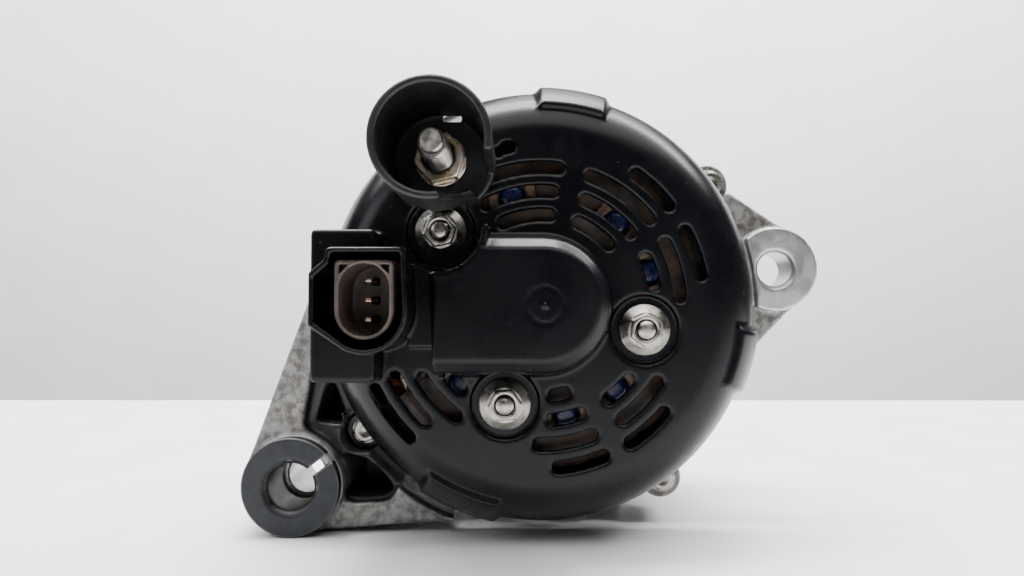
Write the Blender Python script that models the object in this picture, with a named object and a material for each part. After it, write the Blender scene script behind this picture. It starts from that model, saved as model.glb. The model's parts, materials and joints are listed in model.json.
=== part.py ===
"""Compact hairpin-wound car alternator, rear cover towards -Y and pulley towards +Y.

Metres, +Z up. The shaft runs along Y. Sizes along the shaft are depths, counted from the rim of
the terminal shroud, which is the rearmost edge. Places across the shaft are (x, z) from its axis,
and angles are in degrees, counter-clockwise from +X as seen from the rear.
"""

import math

import bmesh
import bpy
from mathutils import Matrix, Vector

# Whole machine
LENGTH = 0.174
AXIS_X = 0.0004
AXIS_Z = 0.0703
GAP = 0.0003

# Rear cover
COVER_R = 0.065
COVER_FACE_R = 0.051
COVER_FACE_D = 0.041
COVER_SIDE_D = 0.061
COVER_EDGE_D = 0.070
COVER_WALL = 0.0022
BULGE_D = 0.027
BULGE_BASE_R = 0.0202
BULGE_TOP_R = 0.0145
BLOCK_LEFT = -0.0619
BLOCK_RIGHT = -0.0448
HOOD_LEFT = -0.0294
HOOD_NECK_D = 0.031
BLOCK_TOP = 0.0202
BLOCK_BOTTOM = -0.0207
SHROUD_D = 0.015
SHROUD_BED_D = 0.040
VENT_WIDTH = 0.0036
VENTS = {
    0.0257: ((118.7, 80.7), (70, 38), (-71, -86)),
    0.0325: ((122, 81), (70.5, 36), (27, 7), (-37.5, -57.5), (-67, -87.5), (-131, -145)),
    0.0393: ((116, 80), (71.8, 36), (29, 0.8), (-31, -57), (-66, -93.8), (-125, -151)),
    0.0460: ((105, 99), (56.5, 35.8), (29.5, 8.5), (-39, -59.3), (-65.3, -86.3), (-133.3, -156)),
    0.0526: ((-133, -155),),
}
BUMPS = ((70, 92), (-25, -5), (-125, -100))

# Plug connector of the regulator
PORT_X, PORT_Z = -0.0459, 0.0013
PORT_D = 0.018
PORT_FLOOR_D = 0.036
PORT_SIZE = (0.0153, 0.0205)
PORT_OPENING = (0.0128, 0.0186)
PIN_PITCH = 0.0052

# Output terminal
TERMINAL = (-0.02755, 0.0392)
SHROUD_R = 0.01475
SHROUD_BORE_R = 0.0128
SHROUD_FLOOR_D = 0.0318
STUD_R = 0.00385

# Fasteners
COVER_STUDS = ((0.030, -13.3), (0.0297, -110.2), (0.0353, 143.7))
NUT_FACE_D = 0.0373
NUT_SEAT_D = 0.0425
BOLT_CIRCLE_R = 0.0694
BOLT_ANGLES = (35.5, 125.8, -144.2, -54.2)
EAR_R = 0.0066
BOLT_HEAD_D = 0.0765
EAR_D = 0.080

# Brackets and stator
BRACKET_R = 0.067
SPIGOT_R = 0.0643
CHAMBER_R = 0.0615
REAR_FACE_D = 0.0705
REAR_WALL_D = 0.075
STATOR_D = (0.0933, 0.1210)
STATOR_R = 0.064
STATOR_BORE_R = 0.0505
SLOT_COUNT = 24
SLOT_R = 0.0585
REAR_RING_D = 0.1010
FRONT_RING_D = 0.1132
FRONT_WALL_D = 0.1370
FRONT_FACE_D = 0.1410

# Lower left lug, on the rear bracket
LEFT_LUG = (-0.0756, -0.0551)
LEFT_BOSS_R = 0.0152
LEFT_BOSS_D = (0.0623, 0.107)
LEFT_ARM_D = (0.064, 0.104)
BUSH_FLANGE_R = 0.01495
BUSH_SLEEVE_R = 0.0124
BUSH_BORE_R = 0.0071
BUSH_D = (0.058, 0.076)
LUG_BORE_R = 0.00606

# Right lug, on the rear bracket
RIGHT_LUG = (0.0774, 0.0120)
RIGHT_BOSS_R = 0.0134
RIGHT_BOSS_D = (0.075, 0.090)
RIGHT_ARM_D = (0.078, 0.0885)
RIGHT_BORE_R = 0.0056

# Rotor
SHAFT_D = (0.033, 0.174)
REAR_SEAT_R = 0.0075
FRONT_SEAT_R = 0.0085
ROTOR_R = 0.0499
CLAW_D = (0.0890, 0.1254)
CLAW_DISC = 0.0095
CLAW_COUNT = 8
COIL_R = 0.0385
CORE_R = 0.0195
FAN_BLADES = 11
REAR_BEARING_D = (0.066, 0.077)
FRONT_BEARING_D = (0.1308, 0.1445)
SLIP_RING_R = 0.0078
SLIP_RINGS_D = ((0.0362, 0.0425), (0.0462, 0.0525))
BRUSH_LENGTH = 0.0125
DIODE_R = 0.0326
DIODE_ANGLES = (104.5, 47, 17, -48, -77, -135)
PULLEY_R = 0.028
PULLEY_D = (0.1485, 0.1730)
RIB_COUNT = 6
RIB_PITCH = 0.00356
RIB_DEPTH = 0.0029

ROUND = 36
SMALL_ROUND = 18


# Drawing helpers ------------------------------------------------------------------------------


def on_circle(radius, angle, centre=(0.0, 0.0)):
    turn = math.radians(angle)
    return centre[0] + radius * math.cos(turn), centre[1] + radius * math.sin(turn)


def arc(radius, start, end, steps, centre=(0.0, 0.0)):
    return [on_circle(radius, start + (end - start) * i / steps, centre) for i in range(steps + 1)]


def circle(radius, steps=SMALL_ROUND, centre=(0.0, 0.0)):
    return arc(radius, 0, 360, steps, centre)[:-1]


def rectangle(left, right, bottom, top):
    return [(left, bottom), (right, bottom), (right, top), (left, top)]


def hexagon(across_flats, centre=(0.0, 0.0), turn=0.0):
    corner = across_flats / math.sqrt(3)
    return [on_circle(corner, 60 * i + turn, centre) for i in range(6)]


def band(inner, outer, start, end, steps):
    """A piece of a ring, square at its ends."""
    return arc(inner, start, end, steps) + arc(outer, end, start, steps)


def slot(radius, width, start, end):
    """A slot bent along a circle, with round ends; its ends lie at the two angles."""
    half = width / 2
    end_turn = math.degrees(half / radius)
    low = min(start, end) + end_turn
    high = max(start, end) - end_turn
    steps = max(1, round((high - low) / 14))
    first = on_circle(radius, low)
    last = on_circle(radius, high)
    outer = arc(radius + half, low, high, steps)
    far_end = arc(half, high, high + 180, 3, last)[1:-1]
    inner = arc(radius - half, high, low, steps)
    near_end = arc(half, low + 180, low + 360, 3, first)[1:-1]
    return outer + far_end + inner + near_end


def arm(hub, hub_r, boss, boss_r, steps=12):
    """The outline of an arm whose two edges touch a hub circle and a boss circle."""
    along = (boss[0] - hub[0], boss[1] - hub[1])
    heading = math.degrees(math.atan2(along[1], along[0]))
    spread = math.degrees(math.acos((hub_r - boss_r) / math.hypot(*along)))
    outline = [hub, on_circle(hub_r, heading - spread, hub)]
    outline += arc(boss_r, heading - spread, heading + spread, steps, boss)
    return outline + [on_circle(hub_r, heading + spread, hub)]


def at(x, depth, z):
    return Vector((x, depth - LENGTH / 2, z))


# Solids ---------------------------------------------------------------------------------------


def add_object(name, bm):
    bmesh.ops.recalc_face_normals(bm, faces=bm.faces)
    mesh = bpy.data.meshes.new(name)
    bm.to_mesh(mesh)
    bm.free()
    made = bpy.data.objects.new(name, mesh)
    bpy.context.scene.collection.objects.link(made)
    return made


def bridge(bm, first, second):
    """Faces between two rings of vertices, or between a ring and a lone vertex."""
    count = max(len(first), len(second))
    if count == 1:
        return
    for i in range(count):
        j = (i + 1) % count
        around = [first[i % len(first)], first[j % len(first)]]
        around += [second[j % len(second)], second[i % len(second)]]
        corners = list(dict.fromkeys(around))
        bm.faces.new(corners)


def add_lathe(bm, profile, steps, centre):
    rings = []
    for radius, depth in profile:
        if radius < 1e-9:
            rings.append([bm.verts.new(at(centre[0], depth, centre[1]))])
        else:
            points = circle(radius, steps, centre)
            rings.append([bm.verts.new(at(x, depth, z)) for x, z in points])
    for i, ring in enumerate(rings):
        bridge(bm, ring, rings[(i + 1) % len(rings)])


def lathe(name, profile, steps=SMALL_ROUND, centre=(0.0, 0.0)):
    """A closed profile of (radius, depth) turned round an axis along Y."""
    bm = bmesh.new()
    add_lathe(bm, profile, steps, centre)
    return add_object(name, bm)


def cylinder(name, radius, depths, steps=SMALL_ROUND, centre=(0.0, 0.0)):
    near, far = depths
    return lathe(name, [(0, near), (radius, near), (radius, far), (0, far)], steps, centre)


def tube(name, inner, outer, depths, steps=SMALL_ROUND, centre=(0.0, 0.0)):
    near, far = depths
    return lathe(name, [(inner, near), (outer, near), (outer, far), (inner, far)], steps, centre)


def add_loft(bm, near_outline, near, far_outline, far):
    near_ring = [bm.verts.new(at(x, near, z)) for x, z in near_outline]
    far_ring = [bm.verts.new(at(x, far, z)) for x, z in far_outline]
    bridge(bm, near_ring, far_ring)
    bm.faces.new(near_ring)
    bm.faces.new(far_ring)


def loft(name, near_outline, near, far_outline, far):
    bm = bmesh.new()
    add_loft(bm, near_outline, near, far_outline, far)
    return add_object(name, bm)


def prism(name, outline, near, far):
    return loft(name, outline, near, outline, far)


def prisms(name, outlines, near, far):
    """Several prisms that don't meet, in one mesh."""
    bm = bmesh.new()
    for outline in outlines:
        add_loft(bm, outline, near, outline, far)
    return add_object(name, bm)


def cylinders(name, radius, depths, centres, steps=14):
    return prisms(name, [circle(radius, steps, c) for c in centres], *depths)


def radial_boxes(name, angles, inner, outer, width, depths):
    """Boxes that point away from the shaft, one at each angle."""
    bm = bmesh.new()
    for angle in angles:
        box = bmesh.ops.create_cube(bm, size=1.0)["verts"]
        size = Vector((outer - inner, depths[1] - depths[0], width))
        middle = at((inner + outer) / 2, (depths[0] + depths[1]) / 2, 0)
        turn = Matrix.Rotation(-math.radians(angle), 4, "Y")
        place = turn @ Matrix.Translation(middle) @ Matrix.Diagonal((*size, 1))
        bmesh.ops.transform(bm, matrix=place, verts=box)
    return add_object(name, bm)


def is_closed(mesh):
    bm = bmesh.new()
    bm.from_mesh(mesh)
    closed = len(bm.faces) > 0 and all(edge.is_manifold for edge in bm.edges)
    bm.free()
    return closed


def boolean_result(target, operation, tool, solver):
    modifier = target.modifiers.new(operation.title(), "BOOLEAN")
    modifier.operation = operation
    modifier.solver = solver
    modifier.object = tool
    bpy.context.view_layer.update()
    graph = bpy.context.evaluated_depsgraph_get()
    result = bpy.data.meshes.new_from_object(target.evaluated_get(graph))
    target.modifiers.clear()
    return result


def combine(target, operation, tool):
    """Applies a Boolean with the tool, which is then deleted."""
    result = boolean_result(target, operation, tool, "EXACT")
    if not is_closed(result):
        bpy.data.meshes.remove(result)
        result = boolean_result(target, operation, tool, "MANIFOLD")
    old = target.data
    target.data = result
    bpy.data.meshes.remove(old)
    bpy.data.objects.remove(tool)
    return target


def cut(target, tool):
    return combine(target, "DIFFERENCE", tool)


def join(target, tool):
    return combine(target, "UNION", tool)


# Materials and placing ------------------------------------------------------------------------


def material(name, color, metallic, roughness):
    made = bpy.data.materials.new(name)
    made.use_nodes = True
    shader = made.node_tree.nodes["Principled BSDF"]
    shader.inputs["Base Color"].default_value = (*color, 1)
    shader.inputs["Metallic"].default_value = metallic
    shader.inputs["Roughness"].default_value = roughness
    made.diffuse_color = (*color, 1)
    return made


def materials():
    return {
        "cover_plastic": material("cover_plastic", (0.012, 0.014, 0.018), 0.0, 0.35),
        "connector_plastic": material("connector_plastic", (0.25, 0.19, 0.15), 0.0, 0.5),
        "inner_plastic": material("inner_plastic", (0.12, 0.06, 0.03), 0.0, 0.5),
        "cast_aluminium": material("cast_aluminium", (0.42, 0.41, 0.40), 0.9, 0.55),
        "zinc_steel": material("zinc_steel", (0.62, 0.60, 0.56), 1.0, 0.32),
        "yellow_zinc": material("yellow_zinc", (0.66, 0.55, 0.36), 1.0, 0.3),
        "steel": material("steel", (0.48, 0.47, 0.46), 1.0, 0.35),
        "bush_steel": material("bush_steel", (0.045, 0.048, 0.052), 0.5, 0.5),
        "lamination": material("lamination", (0.22, 0.21, 0.20), 0.9, 0.5),
        "enamelled_copper": material("enamelled_copper", (0.45, 0.16, 0.06), 0.6, 0.35),
        "copper": material("copper", (0.75, 0.36, 0.20), 1.0, 0.25),
        "carbon": material("carbon", (0.03, 0.03, 0.03), 0.1, 0.6),
        "diode_resin": material("diode_resin", (0.03, 0.07, 0.32), 0.0, 0.4),
        "iron": material("iron", (0.18, 0.17, 0.17), 0.8, 0.55),
    }


def finish(made, finishes, slot_name, parent, origin=(0.0, 0.0, 0.0)):
    """Gives the object its material, its shading, its parent and its origin."""
    mesh = made.data
    mesh.materials.clear()
    mesh.materials.append(finishes[slot_name])
    mesh.shade_smooth()
    mesh.set_sharp_from_angle(angle=math.radians(32))
    mesh.transform(Matrix.Translation(-Vector(origin)))
    made.parent = parent
    made.location = origin
    return made


def empty(name, parent=None):
    made = bpy.data.objects.new(name, None)
    bpy.context.scene.collection.objects.link(made)
    made.parent = parent
    return made


# Rear cover -----------------------------------------------------------------------------------


def shoulder(radius, face_r, face_d, side_d, steps=4):
    """The rounded edge between the cover's flat face and its side."""
    points = []
    for i in range(steps + 1):
        turn = math.radians(90 * i / steps)
        r = face_r + (radius - face_r) * math.sin(turn)
        points.append((r, face_d + (side_d - face_d) * (1 - math.cos(turn))))
    return points


def cover_profile():
    outside = shoulder(COVER_R, COVER_FACE_R, COVER_FACE_D, COVER_SIDE_D)
    inner_d = COVER_FACE_D + COVER_WALL
    inside = shoulder(COVER_R - COVER_WALL, COVER_FACE_R - 0.001, inner_d, COVER_SIDE_D)
    outside = [(0, COVER_FACE_D)] + outside + [(COVER_R, COVER_EDGE_D)]
    inside = [(0, inner_d)] + inside + [(COVER_R - COVER_WALL, COVER_EDGE_D)]
    return outside + inside[::-1]


def bulge_outline(radius, left):
    return [(left, -radius)] + arc(radius, -90, 90, 14) + [(left, radius)]


def bulge(name, inset, near, far):
    """The hood over the slip rings: a D-shaped plateau with sloping sides."""
    top = bulge_outline(BULGE_TOP_R - inset, HOOD_LEFT + inset)
    base = bulge_outline(BULGE_BASE_R - inset, HOOD_LEFT + inset)
    return loft(name, top, near, base, far)


def shroud_outline(inset):
    """The plug shroud: square at the top right, round below, cut back at both left corners."""
    left = PORT_X - 0.0134 + inset
    right = PORT_X + 0.0114 - inset
    top = PORT_Z + 0.0132 - inset
    centre = (PORT_X + 0.0004, PORT_Z - 0.0029)
    outline = [(right - 0.001, top), (left + 0.0042, top), (left + 0.0034, top - 0.0034)]
    outline += [(left, top - 0.0064), (left, PORT_Z - 0.0068 + inset)]
    return outline + arc(right - centre[0], -118, 0, 12, centre)


def polar_places(pairs):
    return [on_circle(radius, angle) for radius, angle in pairs]


def vent_outlines():
    return [slot(r, VENT_WIDTH, *span) for r, spans in VENTS.items() for span in spans]


def rear_cover():
    cover = lathe("rear_cover", cover_profile(), ROUND)
    bumps = [band(0.0605, 0.067, *span, 5) for span in BUMPS]
    join(cover, prisms("bumps", bumps, 0.0515, 0.0665))
    join(cover, bulge("bulge", 0, BULGE_D, COVER_FACE_D + 0.0015))
    block = rectangle(BLOCK_LEFT, BLOCK_RIGHT, BLOCK_BOTTOM, BLOCK_TOP)
    join(cover, prism("block", block, BULGE_D + 0.0001, 0.058))
    join(cover, prism("neck", rectangle(-0.0365, -0.0280, -0.0115, 0.0115), HOOD_NECK_D, 0.0425))
    seats = polar_places(COVER_STUDS)
    join(cover, cylinders("seat_pads", 0.0106, (COVER_FACE_D + 0.001, 0.0455), seats))
    cut(cover, bulge("bulge_inside", COVER_WALL, BULGE_D + COVER_WALL, COVER_FACE_D + 0.004))
    wall = COVER_WALL
    inside = rectangle(BLOCK_LEFT + wall, BLOCK_RIGHT - wall, BLOCK_BOTTOM + wall, BLOCK_TOP - wall)
    cut(cover, prism("block_inside", inside, BULGE_D + 0.0025, 0.0595))
    join(cover, prism("shroud", shroud_outline(0), SHROUD_D, SHROUD_BED_D + 0.0025))
    cut(cover, prism("shroud_inside", shroud_outline(0.0012), SHROUD_D - 0.002, SHROUD_BED_D))
    cut(cover, prism("port_room", port_outline(-GAP), 0.030, 0.050))
    holder_room = rectangle(-0.0330, -0.0240, -0.0090, 0.0090)
    cut(cover, prism("holder_room", holder_room, HOOD_NECK_D + COVER_WALL, 0.0595))
    regulator_room = rectangle(BLOCK_LEFT + wall, -0.0300, -0.0184, 0.0184)
    cut(cover, prism("regulator_room", regulator_room, SHROUD_BED_D + 0.0032, 0.0595))
    for start, end, near in ((-156, -92, HOOD_NECK_D), (-96, 4, BULGE_D)):
        crescent = arc(0.0138, start, end, 8, seats[2]) + arc(0.0112, end, start, 8, seats[2])
        join(cover, prism("pocket_wall", crescent, near + 0.0008, 0.0421))
    cut(cover, prism("pocket", circle(0.012, 24, seats[2]), BULGE_D - 0.002, 0.0405))
    cut(cover, cylinders("seats", 0.0097, (0.030, NUT_SEAT_D), seats))
    cut(cover, cylinders("stud_holes", 0.0031, (0.040, 0.062), seats, 10))
    cut(cover, prism("terminal_hole", circle(0.0094, 24, TERMINAL), 0.030, 0.060))
    shroud_room = (BULGE_D - 0.002, SHROUD_FLOOR_D + 0.0022 + GAP)
    cut(cover, cylinder("shroud_room", SHROUD_R + GAP, shroud_room, 32, TERMINAL))
    return cut(cover, prisms("vents", vent_outlines(), 0.020, 0.0448))


# Output terminal ------------------------------------------------------------------------------


def terminal_insulator():
    """A shroud round the terminal, open to the lower right, on a neck that goes into the cover."""
    floor = (SHROUD_FLOOR_D, SHROUD_FLOOR_D + 0.0022)
    piece = tube("terminal_insulator", SHROUD_BORE_R, SHROUD_R, (0, floor[1]), 32, TERMINAL)
    far = 0.024
    opening = [TERMINAL, on_circle(far, -80, TERMINAL), on_circle(far * 1.2, -47, TERMINAL)]
    opening.append(on_circle(far, -13, TERMINAL))
    cut(piece, prism("opening", opening, -0.002, SHROUD_FLOOR_D - 0.0006))
    join(piece, cylinder("floor", SHROUD_BORE_R + 0.0008, floor, 32, TERMINAL))
    join(piece, cylinder("neck", 0.0090, (floor[0] + 0.001, 0.0485), 20, TERMINAL))
    cut(piece, cylinder("bore", 0.0043, (0.020, 0.060), 16, TERMINAL))
    left, bottom = TERMINAL[0] + 0.0004, TERMINAL[1] + 0.0108
    window = rectangle(left, left + 0.0052, bottom, bottom + 0.0021)
    cut(piece, prism("window", window, 0.028, 0.038))
    nut_room = on_circle(*COVER_STUDS[2])
    return cut(piece, cylinder("nut_room", 0.0092, (0.0225, 0.040), 20, nut_room))


def terminal_stud():
    profile = [(0, 0.004), (0.0028, 0.004), (0.0031, 0.0045), (0.0031, 0.0072), (STUD_R, 0.0082)]
    profile += [(STUD_R, 0.0508), (0.0064, 0.0508), (0.0064, 0.0535), (0, 0.0535)]
    return lathe("terminal_stud", profile, 16, TERMINAL)


def terminal_nut():
    piece = prism("terminal_nut", hexagon(0.0122, TERMINAL, 12), 0.0250, 0.0305)
    join(piece, cylinder("washer", 0.0071, (0.0298, 0.0314), 24, TERMINAL))
    return cut(piece, cylinder("thread", STUD_R + GAP, (0.020, 0.035), 16, TERMINAL))


def cover_nut(name, centre, turn):
    profile = [(0, 0.0385), (0.0048, 0.0385), (0.0069, 0.0409), (0.0073, 0.0412)]
    profile += [(0.0073, NUT_SEAT_D - GAP), (0, NUT_SEAT_D - GAP)]
    piece = prism(name, hexagon(0.008, centre, turn), NUT_FACE_D, 0.0405)
    join(piece, lathe("flange", profile, 20, centre))
    return cut(piece, cylinder("thread", 0.0028, (0.030, 0.050), 12, centre))


def cover_stud(name, centre):
    profile = [(0, 0.0366), (0.0022, 0.0366), (0.0025, 0.0370), (0.0025, 0.0716), (0, 0.0716)]
    return lathe(name, profile, 12, centre)


# Regulator and brushes ------------------------------------------------------------------------


def port_outline(inset):
    """Square at the top, half round at the bottom."""
    half = PORT_SIZE[0] / 2 - inset
    top = PORT_Z + PORT_SIZE[1] / 2 - inset
    centre = (PORT_X, PORT_Z - PORT_SIZE[1] / 2 + PORT_SIZE[0] / 2)
    corner = 0.0016
    outline = arc(corner, 0, 90, 2, (PORT_X + half - corner, top - corner))
    outline += arc(corner, 90, 180, 2, (PORT_X - half + corner, top - corner))
    return outline + arc(half, -180, 0, 12, centre)


def oval(width, height):
    radius = width / 2
    reach = height / 2 - radius
    upper = arc(radius, 0, 180, 10, (PORT_X, PORT_Z + reach))
    return upper + arc(radius, 180, 360, 10, (PORT_X, PORT_Z - reach))


def corner_hole(side):
    """One of the two small three-cornered recesses in the port's upper corners."""
    top = PORT_Z + PORT_SIZE[1] / 2 - 0.0013
    outer = PORT_X + side * (PORT_SIZE[0] / 2 - 0.0013)
    return [(outer, top), (outer - side * 0.0021, top), (outer, top - 0.0021)]


def regulator_connector():
    piece = prism("regulator_connector", port_outline(0), PORT_D, 0.0450)
    flange = rectangle(PORT_X - 0.0105, PORT_X + 0.0118, PORT_Z - 0.0145, PORT_Z + 0.0135)
    join(piece, prism("flange", flange, 0.0445, 0.0480))
    cut(piece, prism("opening", oval(*PORT_OPENING), PORT_D - 0.001, PORT_FLOOR_D))
    cut(piece, prisms("corner_holes", [corner_hole(-1), corner_hole(1)], PORT_D - 0.001, 0.022))
    holes = [rectangle(PORT_X - 0.0011, PORT_X + 0.0011, z - 0.0009, z + 0.0009) for z in pin_heights()]
    return cut(piece, prisms("pin_holes", holes, 0.034, 0.050))


def pin_heights():
    return [PORT_Z + PIN_PITCH * (i - 1) for i in range(3)]


def connector_pin(name, z):
    outline = rectangle(PORT_X - 0.0008, PORT_X + 0.0008, z - 0.0005, z + 0.0005)
    return prism(name, outline, 0.0245, 0.0478)


def regulator_body():
    outline = rectangle(-0.0555, -0.0318, -0.0165, 0.0165)
    piece = prism("regulator_body", outline, 0.0483, 0.0590)
    fins = [rectangle(-0.0530 + 0.004 * i, -0.0513 + 0.004 * i, -0.018, 0.018) for i in range(5)]
    return cut(piece, prisms("fin_gaps", fins, 0.0545, 0.0600))


def brush_slot(middle):
    return rectangle(-0.0296, -0.0060, -0.0028, 0.0028), middle - 0.0032, middle + 0.0032


def ring_middles():
    return [sum(span) / 2 for span in SLIP_RINGS_D]


def brush_holder():
    outline = rectangle(-0.0315, -0.0098, -0.0060, 0.0060)
    piece = prism("brush_holder", outline, 0.0335, 0.0560)
    join(piece, prism("foot", rectangle(-0.0315, -0.0150, -0.0080, 0.0080), 0.0530, 0.0575))
    for middle in ring_middles():
        cut(piece, prism("brush_slot", *brush_slot(middle)))
    return piece


def brush(name, middle):
    left = -(SLIP_RING_R + GAP) - BRUSH_LENGTH
    outline = rectangle(left, -(SLIP_RING_R + GAP), -0.0025, 0.0025)
    return prism(name, outline, middle - 0.0029, middle + 0.0029)


def helix(turns, radius, x0, x1, middle, steps):
    """Points along a coil whose axis runs along X."""
    count = round(turns * steps)
    points = []
    for i in range(count + 1):
        turn = 2 * math.pi * i / steps
        x = x0 + (x1 - x0) * i / count
        points.append(at(x, middle + radius * math.cos(turn), radius * math.sin(turn)))
    return points


def wire(name, points, thickness, sides=1):
    curve = bpy.data.curves.new(name, "CURVE")
    curve.dimensions = "3D"
    curve.bevel_depth = thickness / 2
    curve.bevel_resolution = sides
    curve.use_fill_caps = True
    line = curve.splines.new("POLY")
    line.points.add(len(points) - 1)
    for place, point in zip(line.points, points):
        place.co = (*point, 1)
    guide = bpy.data.objects.new(name, curve)
    bpy.context.scene.collection.objects.link(guide)
    bpy.context.view_layer.update()
    graph = bpy.context.evaluated_depsgraph_get()
    mesh = bpy.data.meshes.new_from_object(guide.evaluated_get(graph))
    bpy.data.objects.remove(guide)
    made = bpy.data.objects.new(name, mesh)
    bpy.context.scene.collection.objects.link(made)
    bm = bmesh.new()
    bm.from_mesh(mesh)
    bmesh.ops.remove_doubles(bm, verts=bm.verts, dist=1e-6)
    bmesh.ops.recalc_face_normals(bm, faces=bm.faces)
    bm.to_mesh(mesh)
    bm.free()
    return made


def brush_spring(name, middle):
    tail = -(SLIP_RING_R + GAP) - BRUSH_LENGTH - 0.0008
    return wire(name, helix(4, 0.0017, -0.0287, tail, middle, 9), 0.0006, 0)


# Rectifier ------------------------------------------------------------------------------------


def stud_clearances(radius):
    return [circle(radius, 8, c) for c in polar_places(COVER_STUDS)]


def diode_places():
    return [on_circle(DIODE_R, angle) for angle in DIODE_ANGLES]


def heat_sink(name, inner, outer, span, depths, diode_hole):
    piece = prism(name, band(inner, outer, *span, 16), *depths)
    through = (depths[0] - 0.01, depths[1] + 0.01)
    cut(piece, prisms("stud_holes", stud_clearances(0.0032), *through))
    return cut(piece, cylinders("seats", diode_hole, through, diode_places(), 10))


def positive_heat_sink():
    piece = heat_sink("positive_heat_sink", 0.0235, 0.0555, (-147, 132), (0.0540, 0.0565), 0.0053)
    join(piece, prism("terminal_pad", circle(0.0095, 20, TERMINAL), 0.0540, 0.0565))
    return piece


def negative_heat_sink():
    return heat_sink("negative_heat_sink", 0.0235, 0.0585, (-147, 132), (0.0620, 0.0645), 0.0035)


def terminal_block():
    """The moulded lead frame that lies over the diodes."""
    piece = prism("rectifier_terminal_block", band(0.0235, 0.0475, -147, 128, 16), 0.0480, 0.0512)
    cut(piece, cylinders("diode_windows", 0.0041, (0.046, 0.053), diode_places(), 10))
    cut(piece, prisms("stud_holes", stud_clearances(0.0110), 0.046, 0.053))
    cut(piece, prism("neck_room", circle(0.0098, 20, TERMINAL), 0.046, 0.053))
    return piece


def diode(name, centre):
    profile = [(0, 0.0462), (0.0030, 0.0462), (0.0034, 0.0470), (0.0034, 0.0520)]
    profile += [(0.0050, 0.0520), (0.0050, 0.0590), (0, 0.0590)]
    return lathe(name, profile, 10, centre)


# Brackets -------------------------------------------------------------------------------------


def rear_spokes():
    return (-13.3, 25, 62, 100, 143.7, 180, -145, -110.2, -62)


def windows(spokes, inner, outer, half_width):
    """Openings between the spokes of a bracket's end wall."""
    angles = sorted(angle % 360 for angle in spokes)
    outlines = []
    for first, last in zip(angles, angles[1:] + [angles[0] + 360]):
        inner_turn = math.degrees(half_width / inner)
        outer_turn = math.degrees(half_width / outer)
        near = arc(inner, first + inner_turn, last - inner_turn, 2)
        outlines.append(near + arc(outer, last - outer_turn, first + outer_turn, 3))
    return outlines


def ear_places():
    return [on_circle(BOLT_CIRCLE_R, angle) for angle in BOLT_ANGLES]


def left_arm():
    """The deep arm of the lower left lug, hollowed from the rear round its bolt."""
    outline = arm((0, 0.0030), 0.0671, (LEFT_LUG[0] - 0.0005, LEFT_LUG[1] + 0.0004), 0.0155)
    piece = prism("left_arm", outline, *LEFT_ARM_D)
    recess = [(-0.0700, -0.0190), (-0.0733, -0.0380), (-0.0685, -0.0412), (-0.0635, -0.0452)]
    recess += [(-0.0603, -0.0520), (-0.0600, -0.0590), (-0.0580, -0.0610), (-0.0470, -0.0605)]
    recess += [(-0.0440, -0.0570), (-0.0400, -0.0400), (-0.0560, -0.0190)]
    cut(piece, prism("recess", recess, 0.060, 0.0700))
    upper = [(-0.0672, -0.0250), (-0.0705, -0.0366), (-0.0620, -0.0376)]
    upper += [(-0.0640, -0.0318), (-0.0663, -0.0262)]
    lower = [(-0.0637, -0.0467), (-0.0612, -0.0525), (-0.0612, -0.0585), (-0.0590, -0.0603)]
    lower += [(-0.0480, -0.0598), (-0.0460, -0.0575), (-0.0497, -0.0523), (-0.0560, -0.0482)]
    return cut(piece, prisms("pockets", [upper, lower], 0.060, 0.0980))


def right_arm():
    outline = arm((0, 0.0039), 0.0633, RIGHT_LUG, RIGHT_BOSS_R)
    piece = prism("right_arm", outline, *RIGHT_ARM_D)
    return join(piece, cylinder("boss", RIGHT_BOSS_R + 0.0002, RIGHT_BOSS_D, 26, RIGHT_LUG))


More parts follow.
